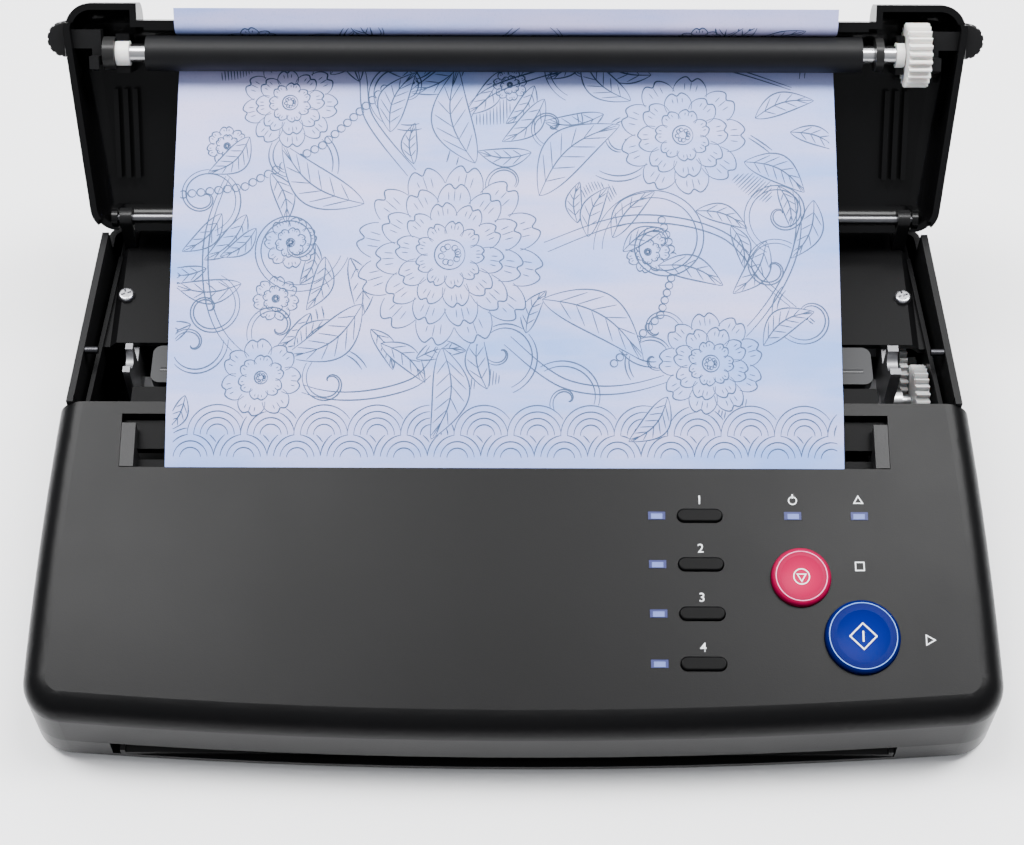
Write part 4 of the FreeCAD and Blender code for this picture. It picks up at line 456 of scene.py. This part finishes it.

# Leaf springs under the print head: two arched leaves that sit on the bridge below and go with the
# body.
bpy.ops.object.select_all(action="DESELECT")
springs = bpy.data.objects.new("head_leaf_springs", nodes["head_springs"].data.copy())
bpy.context.scene.collection.objects.link(springs)
springs.select_set(True)
bpy.context.view_layer.objects.active = springs
bpy.ops.object.mode_set(mode="EDIT")
bpy.ops.mesh.select_all(action="SELECT")
bpy.ops.mesh.remove_doubles(threshold=0.000001)
bpy.ops.object.mode_set(mode="OBJECT")
bpy.ops.object.shade_smooth_by_angle(angle=math.radians(40))
wear(steel("leaf spring steel", (0.12, 0.12, 0.13), 0.35), springs)
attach(springs, "body")
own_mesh(springs)
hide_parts("head_springs")

# Marks on the panel and the buttons: pad-printed white, plain numbers over the four keys and plain
# signs by the lamps and the buttons. Each is a flat outline laid on its carrier, a hair thick.
panel_tilt = math.atan2(0.2321, 1.0)
print_lift = 0.00004
print_line = 0.00034
printed = Recipe("pad print white")
smear = printed.noise(1800.0, 2.0)
printed.bump(smear, 0.00001, 0.3)
ink_white = printed.blend(smear, (0.62, 0.64, 0.66, 1), (0.8, 0.82, 0.84, 1))
printed.set(Base_Color=ink_white, Roughness=0.5 + smear * 0.1)


def flat_outline(corners, radius, line=print_line, turn=0.0):
    """A ring or a many-sided frame, drawn flat at the origin: a filled outline with its inside taken out."""
    bpy.ops.mesh.primitive_circle_add(vertices=corners, radius=radius, fill_type="NGON",
                                      rotation=(0, 0, turn))
    bpy.ops.object.mode_set(mode="EDIT")
    bpy.ops.mesh.inset(thickness=line)
    bpy.ops.mesh.delete(type="FACE")
    bpy.ops.object.mode_set(mode="OBJECT")
    return bpy.context.object


def flat_bar(width, height, x=0.0, y=0.0):
    bpy.ops.mesh.primitive_plane_add(size=1.0, location=(x, y, 0))
    bpy.context.object.scale = (width, height, 1)
    return bpy.context.object


def numeral(text, height):
    bpy.ops.object.text_add()
    word = bpy.context.object
    word.data.body = text
    word.data.size = height * 1.4
    word.data.align_x = "CENTER"
    word.data.align_y = "CENTER"
    word.data.offset = 0.00003
    bpy.ops.object.convert(target="MESH")
    return bpy.context.object


def lay(pieces, name, carrier, x, y, body):
    """Joins flat pieces, tips them to the panel, drops them on the carrier and gives them thickness."""
    bpy.ops.object.select_all(action="DESELECT")
    for piece in pieces:
        piece.select_set(True)
    bpy.context.view_layer.objects.active = pieces[0]
    if len(pieces) > 1:
        bpy.ops.object.join()
    mark = bpy.context.object
    mark.name = name
    bpy.ops.object.transform_apply(location=True, rotation=True, scale=True)
    low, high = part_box(carrier)
    mark.data.transform(Matrix.Translation((x, y, high[2] + 0.01)) @ Matrix.Rotation(panel_tilt, 4, "X"))
    drop = mark.modifiers.new("drop", "SHRINKWRAP")
    drop.target = nodes[carrier]
    drop.wrap_method = "PROJECT"
    drop.use_project_z = True
    drop.use_negative_direction = True
    drop.use_positive_direction = False
    drop.offset = print_lift
    bpy.ops.object.modifier_apply(modifier=drop.name)
    body_of_ink = mark.modifiers.new("thickness", "SOLIDIFY")
    body_of_ink.thickness = print_lift
    body_of_ink.offset = 1.0
    bpy.ops.object.modifier_apply(modifier=body_of_ink.name)
    wear(printed.material, mark)
    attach(mark, body)


def middle_of(node):
    low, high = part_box(node)
    return (low[0] + high[0]) / 2, (low[1] + high[1]) / 2


key_x = 0.0583
key_rows = [hinge_y - 0.1055 - 0.0154 * n for n in range(4)]
key_label_rise = 0.0052
for number, key_y in enumerate(key_rows, 1):
    lay([numeral(str(number), 0.0029)], "key_number_%d" % number, "front_cover", key_x,
        key_y + key_label_rise, "body")

status_low, status_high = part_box("status_lamps")
status_y = key_rows[0] + key_label_rise
lay([flat_outline(28, 0.0014), flat_bar(print_line * 1.3, 0.0014, 0.0, 0.0014)], "supply_sign", "front_cover",
    status_low[0] + 0.0028, status_y, "body")
lay([flat_outline(3, 0.0019)], "fault_sign", "front_cover", status_high[0] - 0.0028, status_y, "body")

stop_x, stop_y = 0.0891, hinge_y - 0.1253
start_x, start_y = 0.1072, hinge_y - 0.1437
lay([flat_outline(4, 0.0021, turn=math.pi / 4)], "stop_sign", "front_cover", stop_x + 0.0185,
    stop_y + 0.0042, "body")
lay([flat_outline(3, 0.0021, turn=-math.pi / 2)], "start_sign", "front_cover", start_x + 0.0205,
    start_y - 0.0002, "body")
lay([flat_outline(40, 0.0026), flat_outline(3, 0.0019, turn=math.pi)], "stop_mark", "stop_button",
    stop_x, stop_y, "stop")
lay([flat_outline(4, 0.0044, 0.00042), flat_bar(0.0005, 0.0034)], "start_mark", "copy_button",
    start_x, start_y, "copy")

# Painted highlights round the two buttons: a thin pale ring laid just inside each button's rim, painted light
# that stands for the bright edge there. It is a ring pressed flat, and it moves with the button.


def rim_line(name, button, x, y, radius, colour, body):
    low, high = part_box(button)
    bpy.ops.object.select_all(action="DESELECT")
    bpy.ops.mesh.primitive_torus_add(major_segments=72, minor_segments=8, major_radius=radius,
                                     minor_radius=0.00016)
    ring = bpy.context.object
    ring.name = name
    bpy.ops.object.mode_set(mode="EDIT")
    bpy.ops.transform.resize(value=(1, 1, 0.5))
    bpy.ops.object.mode_set(mode="OBJECT")
    start = Vector((x + radius, y, high[2] + 0.02))
    spot = nodes[button].ray_cast(start, Vector((0, 0, -1)))[1]
    middle = spot - Vector((radius, 0, 0))
    ring.data.transform(Matrix.Translation(middle) @ Matrix.Rotation(panel_tilt, 4, "X"))
    bpy.ops.object.shade_smooth()
    # The ring's pale colour is a painted highlight.
    recipe = Recipe(name + " painted_highlight")
    cloud = recipe.noise(300.0)
    shade = recipe.blend(cloud, tint(colour, 0.85), colour)
    wear(recipe.set(Base_Color=shade, Roughness=0.25 + cloud * 0.05), ring)
    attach(ring, body)


# The pale pink and pale blue below are the colours of the painted highlights.
rim_line("stop_rim_painted_highlight", "stop_button", stop_x, stop_y, 0.0079, (0.75, 0.2, 0.38, 1), "stop")
rim_line("start_rim_painted_highlight", "copy_button", start_x, start_y, 0.0104, (0.1, 0.22, 0.6, 1), "copy")

# Lamp lenses: a pale bar of light in the middle of each dark violet window, rounded at its edges.
lens_size = (0.0036, 0.0018, 0.0003)
pale = lamp_window("lens pale blue", (0.1, 0.13, 0.32), 0.2)
lamp_spots = [(middle_of("mode_lamps")[0], y) for y in key_rows]
lamp_spots += [(status_low[0] + 0.0028, key_rows[0]), (status_high[0] - 0.0028, key_rows[0])]
for number, (x, y) in enumerate(lamp_spots):
    carrier = nodes["mode_lamps" if number < 4 else "status_lamps"]
    bpy.ops.object.select_all(action="DESELECT")
    bpy.ops.mesh.primitive_cube_add(size=1.0)
    lens = bpy.context.object
    lens.name = "lamp_lens_%d" % (number + 1)
    lens.scale = lens_size
    bpy.ops.object.transform_apply(location=False, rotation=False, scale=True)
    bpy.ops.object.modifier_add(type="BEVEL")
    lens.modifiers[-1].width = 0.00014
    lens.modifiers[-1].segments = 3
    bpy.ops.object.modifier_apply(modifier=lens.modifiers[-1].name)
    spot = carrier.ray_cast(Vector((x, y, 0.2)), Vector((0, 0, -1)))[1]
    lens.data.transform(Matrix.Translation(spot) @ Matrix.Rotation(panel_tilt, 4, "X"))
    wear(pale, lens)
    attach(lens, "body")

# Stencil sheet: thin lilac-blue paper, a little wider than A4, that runs from the feed rollers out
# of the throat, over the cover's lip, round the back of the platen and over the lid's notch. It is
# held at both ends, and ripples a little between them.
feed_y, feed_z = next(j for j in frame["joints"] if j["name"] == "feed_roller_spin")["pos_m"][1:]
platen_y, platen_z = next(j for j in frame["joints"] if j["name"] == "platen_spin")["pos_m"][1:]
sheet_middle = -0.003
sheet_width = 0.216
sheet_across = 54
sheet_along = 220
feed_radius = 0.006
platen_wrap = 0.00615
throat_spot = (hinge_y - 0.0965, 0.0434)
lip_spot = (hinge_y - 0.0715, 0.0559)
notch_spot_lid = (0.0608, -0.0029)
tip_spot_lid = (0.0690, -0.0041)
lid_open_angle = math.radians(47.0)
sheet_bends = (0.003, 0.010, 0.030, platen_wrap, 0.004)
ripple_height = 0.0007
ripple_pitch = 0.058


def on_open_lid(along, above):
    """A point of the open lid, from its distance to the hinge and its height off the hinge's plane."""
    return (hinge_y + along * math.cos(lid_open_angle) + above * math.sin(lid_open_angle),
            hinge_z + along * math.sin(lid_open_angle) - above * math.cos(lid_open_angle))


def heading(a, b):
    return math.atan2(b[1] - a[1], b[0] - a[0])


def platen_corner(before, after):
    """Where the sheet's two straight runs would meet behind the platen."""
    centre = (platen_y, platen_z)
    first = heading(centre, before) + math.acos(platen_wrap / math.dist(before, centre))
    last = heading(centre, after) - math.acos(platen_wrap / math.dist(after, centre))
    last += 2 * math.pi * (last < first)
    reach = platen_wrap / math.cos((last - first) / 2)
    middle = (first + last) / 2
    return (platen_y + reach * math.cos(middle), platen_z + reach * math.sin(middle))


over_notch = on_open_lid(*notch_spot_lid)
feed_top = feed_z + feed_radius + 0.00015
sheet_route = [(feed_y - 0.0015, feed_top), (feed_y + 0.0014, feed_top), throat_spot, lip_spot,
               platen_corner(lip_spot, over_notch), over_notch, on_open_lid(*tip_spot_lid)]


def sheet_runs():
    """The route as runs and bends: (length, start, heading, turn per metre)."""
    headings = [heading(a, b) for a, b in zip(sheet_route, sheet_route[1:])]
    cut = [0.0]
    for bend, a, b in zip(sheet_bends, headings, headings[1:]):
        cut.append(bend * abs(math.tan((b - a) / 2)))
    cut.append(0.0)
    runs = []
    for n, course in enumerate(headings):
        a, b = sheet_route[n], sheet_route[n + 1]
        straight = math.dist(a, b) - cut[n] - cut[n + 1]
        start = (a[0] + cut[n] * math.cos(course), a[1] + cut[n] * math.sin(course))
        runs.append((straight, start, course, 0.0))
        if n < len(sheet_bends):
            turn = headings[n + 1] - course
            curve = math.copysign(1 / sheet_bends[n], turn)
            end = (b[0] - cut[n + 1] * math.cos(course), b[1] - cut[n + 1] * math.sin(course))
            runs.append((turn / curve, end, course, curve))
    return runs


runs = sheet_runs()
sheet_length = sum(run[0] for run in runs)


def sheet_point(x, along, lift=0.0):
    """A point of the sheet, x from its middle and along from the feed rollers, lift off its face."""
    left = along
    for length, start, course, curve in runs:
        if left <= length or (length, start, course, curve) == runs[-1]:
            break
        left -= length
    if curve:
        turned = course + curve * left
        y = start[0] + (math.sin(turned) - math.sin(course)) / curve
        z = start[1] - (math.cos(turned) - math.cos(course)) / curve
    else:
        turned = course
        y = start[0] + left * math.cos(course)
        z = start[1] + left * math.sin(course)
    if curve == 0 and length > 0.05:
        swell = math.sin(math.pi * left / length) ** 2
        lift += ripple_height * swell * (math.sin(2 * math.pi * (x / ripple_pitch + left * 4)) + 1.2)
    return Vector((sheet_middle + x, y - lift * math.sin(turned), z + lift * math.cos(turned)))


bpy.ops.mesh.primitive_grid_add(x_subdivisions=sheet_across, y_subdivisions=sheet_along, size=1.0)
paper = bpy.context.object
paper.name = "loaded_sheet"
for vertex in paper.data.vertices:
    vertex.co = sheet_point(vertex.co.x * sheet_width, (vertex.co.y + 0.5) * sheet_length)
bpy.ops.object.modifier_add(type="SOLIDIFY")
paper.modifiers[-1].thickness = 0.0002
paper.modifiers[-1].offset = -1.0
bpy.ops.object.modifier_apply(modifier=paper.modifiers[-1].name)
bpy.ops.object.shade_smooth_by_angle(angle=math.radians(40))

recipe = Recipe("lilac paper")
clouds = recipe.noise(16.0, 5.0, recipe.stretched(0.8, 1.6, 1.6))
streaks = recipe.noise(30.0, 4.0, recipe.stretched(0.25, 2.2, 2.2))
fibre = recipe.noise(1500.0, 3.0)
patch = recipe.node("ShaderNodeMapRange", {}, {"Value": clouds, "From Min": 0.36, "From Max": 0.64})
wash = recipe.blend(patch, (0.17, 0.29, 0.68, 1), (0.36, 0.4, 0.74, 1))
streak = recipe.node("ShaderNodeMapRange", {}, {"Value": streaks, "From Min": 0.42, "From Max": 0.7})
wash = recipe.blend(streak * 0.6, wash, (0.56, 0.47, 0.68, 1))
wash = recipe.blend((fibre > 0.6) * 0.15, wash, (0.16, 0.24, 0.5, 1))
recipe.bump(fibre + streaks, 0.00006, 0.5)
wear(recipe.set(Base_Color=wash, Roughness=0.68 + fibre * 0.1), paper)

ripple_end = (0.0, platen_y, platen_z - platen_wrap)


def hold_sheet(piece):
    """Bakes the piece's placement into its mesh; it is not tied to the cover or the lid."""
    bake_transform(piece)


hold_sheet(paper)
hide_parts("stencil_sheet")

# Drawing on the sheet: fine blue printed lines, flowers, leaves, curling stems and waves. Flowers,
# leaves and waves hide what is drawn after them, so its lines stop at their outlines.
pen_width = 0.00046
pen_lift = 0.00006
drawing_start = 0.031
drawing_end = sheet_length - 0.006


class Pen:
    """Draws strokes on the flat sheet and leaves out what falls under an earlier motif."""

    def __init__(self):
        self.strokes = []
        self.cover = []

    def hidden(self, x, y):
        return any(inside(x, y) for inside in self.cover)

    def draw(self, points, weight=1.0):
        """A stroke through points given in metres on the flat sheet, cut where it is hidden."""
        piece = []
        for x, y in points:
            outside = abs(x) > sheet_width / 2 - 0.002 or not drawing_start < y < drawing_end
            if outside or self.hidden(x, y):
                if len(piece) > 2:
                    self.strokes.append((piece, weight))
                piece = []
            else:
                piece.append((x, y))
        if len(piece) > 2:
            self.strokes.append((piece, weight))

    def cover_with(self, inside):
        self.cover.append(inside)


def curve_points(curve, start, end, count):
    return [curve(start + (end - start) * n / (count - 1)) for n in range(count)]


def turned_about(x, y, angle, flip=1):
    """Gives back a function that puts a motif's own (along, across) onto the sheet."""
    c, s = math.cos(angle), math.sin(angle)
    return lambda a, b: (x + a * c - b * flip * s, y + a * s + b * flip * c)


def leaf(pen, x, y, angle, length, width, bend=0.15, veins=7):
    place = turned_about(x, y, angle)

    def edge(side, share):
        swell = math.sin(math.pi * share) ** 0.8 * (1 - 0.35 * share)
        return place(share * length, bend * length * math.sin(math.pi * share) + side * width * swell / 1.4)

    def rib(share):
        return place(share * length, bend * length * math.sin(math.pi * share))

    for side in (-1, 1):
        pen.draw(curve_points(lambda t: edge(side, t), 0.0, 1.0, 48))
    pen.draw(curve_points(rib, 0.0, 0.97, 36))
    for n in range(1, veins):
        root = n / (veins + 0.5)
        for side in (-1, 1):
            a = rib(root)
            b = edge(side * 0.82, min(root + 0.16, 0.98))
            pen.draw([(a[0] + (b[0] - a[0]) * k / 9, a[1] + (b[1] - a[1]) * k / 9) for k in range(10)], 0.7)
    c, s = math.cos(angle), math.sin(angle)

    def inside(px, py):
        along = ((px - x) * c + (py - y) * s) / length
        if not 0.0 < along < 1.0:
            return False
        across = -(px - x) * s + (py - y) * c - bend * length * math.sin(math.pi * along)
        return abs(across) < width * math.sin(math.pi * along) ** 0.8 * (1 - 0.35 * along) / 1.4

    pen.cover_with(inside)


def flower(pen, x, y, radius, petals=7, layers=4, turn=0.0):
    """Layers of notched petals round a seeded heart, the innermost drawn first."""
    heart = radius * 0.16
    for n in range(9):
        spot = (x + heart * 0.55 * math.cos(n * 2.4), y + heart * 0.55 * math.sin(n * 2.4))
        size = heart * 0.2
        pen.draw(curve_points(lambda t: (spot[0] + size * math.cos(t), spot[1] + size * math.sin(t)),
                              0.0, 2 * math.pi, 10), 0.8)
    pen.draw(curve_points(lambda t: (x + heart * math.cos(t), y + heart * math.sin(t)), 0.0, 2 * math.pi, 30))
    pen.cover_with(lambda px, py: math.hypot(px - x, py - y) < heart)
    for layer in range(1, layers + 1):
        reach = heart + (radius - heart) * layer / layers
        count = petals + layer
        for n in range(count):
            middle = turn + layer * 0.4 + 2 * math.pi * n / count
            half = math.pi / count * 1.12

            def petal(t, reach=reach, middle=middle, half=half):
                share = abs(t)
                notch = 1 - 0.09 * math.exp(-(t / 0.16) ** 2)
                r = reach * (0.62 + 0.38 * math.cos(share * math.pi / 2) ** 0.5) * notch
                return (x + r * math.cos(middle + t * half), y + r * math.sin(middle + t * half))

            pen.draw(curve_points(petal, -1.0, 1.0, 34))
            for offset in (-0.3, 0.0, 0.3):
                tip = middle + offset * half
                inner = reach * (0.74 + 0.05 * abs(offset))
                outer = reach * (0.9 - 0.12 * abs(offset))
                pen.draw([(x + r * math.cos(tip), y + r * math.sin(tip))
                          for r in (inner + (outer - inner) * k / 5 for k in range(6))], 0.6)

        def inside(px, py, reach=reach, count=count, layer=layer):
            distance = math.hypot(px - x, py - y)
            if distance > reach:
                return False
            step = 2 * math.pi / count
            off = (math.atan2(py - y, px - x) - turn - layer * 0.4 + step / 2) % step - step / 2
            share = min(1.0, abs(off) / (step / 2 * 1.12))
            return distance < reach * (0.62 + 0.38 * math.cos(share * math.pi / 2) ** 0.5)

        pen.cover_with(inside)


def tendril(pen, x, y, angle, size, turns=1.6, flip=1, thick=0.14):
    """A stem that curls up at its end, drawn as two lines that close in on each other."""
    place = turned_about(x, y, angle, flip)

    def spiral(t, side):
        theta = 2 * math.pi * turns * t
        r = size * (1 - t) ** 1.25 + side * size * thick * (1 - t) ** 0.8 * 0.5
        return place(size - r * math.cos(theta), r * math.sin(theta))

    for side in (-1, 1):
        pen.draw(curve_points(lambda t: spiral(t, side), 0.0, 0.93, 110))


def stem(pen, points, thick):
    """A smooth stem through given points, as two lines."""
    smooth = []
    ends = [points[0]] + points + [points[-1]]
    for a, b, c, d in zip(ends, ends[1:], ends[2:], ends[3:]):
        for k in range(14):
            t = k / 14
            smooth.append(tuple(0.5 * (2 * b[i] + (c[i] - a[i]) * t
                                       + (2 * a[i] - 5 * b[i] + 4 * c[i] - d[i]) * t * t
                                       + (3 * b[i] - a[i] - 3 * c[i] + d[i]) * t ** 3) for i in (0, 1)))
    for side in (-1, 1):
        line = []
        for n in range(1, len(smooth)):
            (x0, y0), (x1, y1) = smooth[n - 1], smooth[n]
            long = math.hypot(x1 - x0, y1 - y0) or 1.0
            half = side * thick * (1 - 0.75 * n / len(smooth)) / 2
            line.append((x1 - (y1 - y0) / long * half, y1 + (x1 - x0) / long * half))
        pen.draw(line)


def wave_fan(pen, x, y, radius, rings=4):
    """One scale of a wave pattern: half circles inside each other."""
    for n in range(rings):
        r = radius * (1 - n / (rings + 0.6))
        pen.draw(curve_points(lambda t: (x + r * math.cos(t), y + r * math.sin(t)),
                              0.0, math.pi, 40), 0.85)
    pen.cover_with(lambda px, py: math.hypot(px - x, py - y) < radius and py > y)


def beads(pen, points, size):
    """A string of small rings along given points."""
    for (x0, y0), (x1, y1) in zip(points, points[1:]):
        count = max(1, int(math.hypot(x1 - x0, y1 - y0) / (size * 2.1)))
        for n in range(count):
            cx, cy = x0 + (x1 - x0) * n / count, y0 + (y1 - y0) * n / count
            pen.draw(curve_points(lambda t: (cx + size * math.cos(t), cy + size * math.sin(t)),
                                  0, 2 * math.pi, 14))


def hatch(pen, x, y, angle, count, gap, length):
    """Short strokes side by side, longest in the middle, for shade."""
    place = turned_about(x, y, angle)
    for n in range(count):
        share = n / max(1, count - 1)
        tall = length * (0.35 + 0.65 * math.sin(math.pi * share))
        side = (n - count / 2) * gap
        pen.draw([place(side + tall * 0.18 * k / 6, tall * (k / 6 - 0.2)) for k in range(7)], 0.8)


pen = Pen()
flowers = (
    (-0.018, 0.098, 0.031, 8, 4, 0.3), (0.058, 0.139, 0.021, 6, 3, 0.9),
    (-0.071, 0.150, 0.016, 6, 3, 0.1), (0.066, 0.062, 0.017, 6, 3, 0.5),
    (-0.078, 0.057, 0.013, 5, 2, 0.0),
)
for x, y, radius, petals, layers, turn in flowers:
    flower(pen, x, y, radius, petals, layers, turn)
leaves = (
    (-0.046, 0.115, 2.5, 0.034, 0.011), (0.011, 0.118, 0.75, 0.036, 0.012),
    (0.012, 0.083, -0.55, 0.038, 0.012), (-0.046, 0.081, 3.75, 0.03, 0.01),
    (-0.02, 0.067, 4.6, 0.03, 0.01), (-0.01, 0.129, 1.75, 0.034, 0.011),
    (0.078, 0.13, -0.5, 0.022, 0.008), (0.041, 0.151, 2.3, 0.024, 0.008),
    (-0.084, 0.138, 3.9, 0.018, 0.007), (0.083, 0.068, 0.6, 0.02, 0.007),
    (0.052, 0.051, 4.0, 0.019, 0.007), (-0.067, 0.063, 0.8, 0.018, 0.006),
    (-0.058, 0.16, 0.5, 0.02, 0.007), (-0.038, 0.14, 1.2, 0.022, 0.008),
)
for x, y, angle, length, width in leaves:
    leaf(pen, x, y, angle, length, width)
fans = [(-0.1 + 0.017 * n + 0.0085 * (row % 2), 0.031 + 0.0075 * row, 0.0096)
        for row in range(2) for n in range(13)]
for x, y, radius in reversed(fans):
    wave_fan(pen, x, y, radius)
curls = (
    (-0.052, 0.097, 2.9, 0.017, 1.7, 1), (-0.06, 0.118, 2.2, 0.015, 1.6, -1),
    (0.03, 0.1, 0.1, 0.02, 1.8, 1), (0.036, 0.08, -0.5, 0.015, 1.5, -1),
    (0.03, 0.126, 0.9, 0.014, 1.6, -1), (-0.028, 0.142, 2.0, 0.014, 1.5, 1),
    (-0.06, 0.08, 3.6, 0.015, 1.6, 1), (0.085, 0.1, 1.2, 0.013, 1.7, 1),
    (0.09, 0.087, -0.9, 0.012, 1.5, -1), (-0.094, 0.105, 1.9, 0.013, 1.6, -1),
    (-0.092, 0.09, -1.9, 0.011, 1.5, 1), (0.012, 0.06, -0.9, 0.013, 1.6, 1),
    (-0.045, 0.06, 3.5, 0.012, 1.5, -1), (0.02, 0.152, 1.2, 0.013, 1.6, 1),
    (0.0, 0.17, 0.4, 0.012, 1.5, 1),
)
for x, y, angle, size, turns, flip in curls:
    tendril(pen, x, y, angle, size, turns, flip)
stems = (
    ((-0.018, 0.07), (-0.03, 0.055), (-0.06, 0.052), (-0.09, 0.07),
     (-0.097, 0.1), (-0.088, 0.13), (-0.07, 0.15)),
    ((0.0, 0.07), (0.02, 0.055), (0.045, 0.055), (0.075, 0.07), (0.094, 0.1), (0.09, 0.13), (0.06, 0.15)),
    ((-0.018, 0.128), (-0.01, 0.15), (0.01, 0.16), (0.04, 0.166), (0.07, 0.163), (0.095, 0.155)),
    ((-0.03, 0.125), (-0.045, 0.145), (-0.05, 0.165), (-0.075, 0.175), (-0.1, 0.168)),
    ((0.012, 0.1), (0.04, 0.11), (0.07, 0.105), (0.085, 0.088), (0.1, 0.075)),
)


def foliage(pen, count):
    """Leaves, buds and curls wherever the sheet is still open, that follow one flow."""
    for n in range(count):
        x = (n * 0.6180340 % 1.0 - 0.5) * (sheet_width - 0.012)
        y = drawing_start + 0.02 + (n * 0.7548777 % 1.0) * (drawing_end - drawing_start - 0.024)
        flow = 2.1 * math.sin(31 * x + 1.3) + 1.6 * math.cos(38 * y) + 0.5
        size = 0.010 + 0.007 * (n * 0.4142136 % 1.0)
        tip = (x + size * math.cos(flow), y + size * math.sin(flow))
        if pen.hidden(x, y) or pen.hidden(*tip):
            continue
        if n % 7 == 3:
            flower(pen, x, y, size * 0.55, 5, 2, flow)
        elif n % 5 == 1:
            tendril(pen, x, y, flow, size * 0.8, 1.5, 1 if n % 2 else -1)
        else:
            leaf(pen, x, y, flow, size * 1.35, size * 0.42, 0.12, 5)


for path in stems:
    stem(pen, list(path), 0.0034)
foliage(pen, 150)
beads(pen, ((-0.105, 0.118), (-0.085, 0.121), (-0.06, 0.135), (-0.04, 0.155), (-0.02, 0.161)), 0.0013)
beads(pen, ((0.035, 0.062), (0.05, 0.078), (0.055, 0.095), (0.05, 0.112)), 0.0012)
hatches = (
    (-0.018, 0.1, 0.2, 16, 0.0011, 0.012), (0.03, 0.115, 0.6, 16, 0.001, 0.01),
    (-0.062, 0.1, 1.8, 14, 0.001, 0.009), (0.08, 0.12, -0.6, 14, 0.001, 0.009),
    (-0.01, 0.055, 0.1, 18, 0.001, 0.008), (0.0, 0.145, 0.2, 18, 0.0011, 0.01),
    (-0.088, 0.16, 0.3, 12, 0.001, 0.008), (0.075, 0.045, 0.0, 14, 0.001, 0.007),
)
for x, y, angle, count, gap, length in hatches:
    hatch(pen, x, y, angle, count, gap, length)


def ink_mesh(strokes):
    """All the strokes as thin flat ribbons that lie on the sheet, pointed at their ends."""
    corners, faces = [], []
    for points, weight in strokes:
        first = len(corners)
        last = len(points) - 1
        for n, (x, y) in enumerate(points):
            x0, y0 = points[max(0, n - 1)]
            x1, y1 = points[min(last, n + 1)]
            long = math.hypot(x1 - x0, y1 - y0) or 1.0
            half = pen_width * weight / 2 * min(1.0, 0.45 + 1.6 * min(n, last - n) / max(last, 1))
            nx, ny = -(y1 - y0) / long * half, (x1 - x0) / long * half
            corners.append(sheet_point(x + nx, y + ny, pen_lift))
            corners.append(sheet_point(x - nx, y - ny, pen_lift))
            if n:
                a = first + 2 * n
                faces.append((a - 2, a - 1, a + 1, a))
    return corners, faces


corners, faces = ink_mesh(pen.strokes)
drawing_mesh = bpy.data.meshes.new("sheet_drawing")
drawing_mesh.from_pydata(corners, [], faces)
drawing = bpy.data.objects.new("sheet_drawing", drawing_mesh)
bpy.context.scene.collection.objects.link(drawing)

recipe = Recipe("blue ink")
strength = recipe.noise(900.0, 3.0)
recipe.bump(strength, 0.00001, 0.3)
ink = recipe.blend(strength, (0.006, 0.028, 0.09, 1), (0.018, 0.06, 0.16, 1))
wear(recipe.set(Base_Color=ink, Roughness=0.55 + strength * 0.1), drawing)
hold_sheet(drawing)
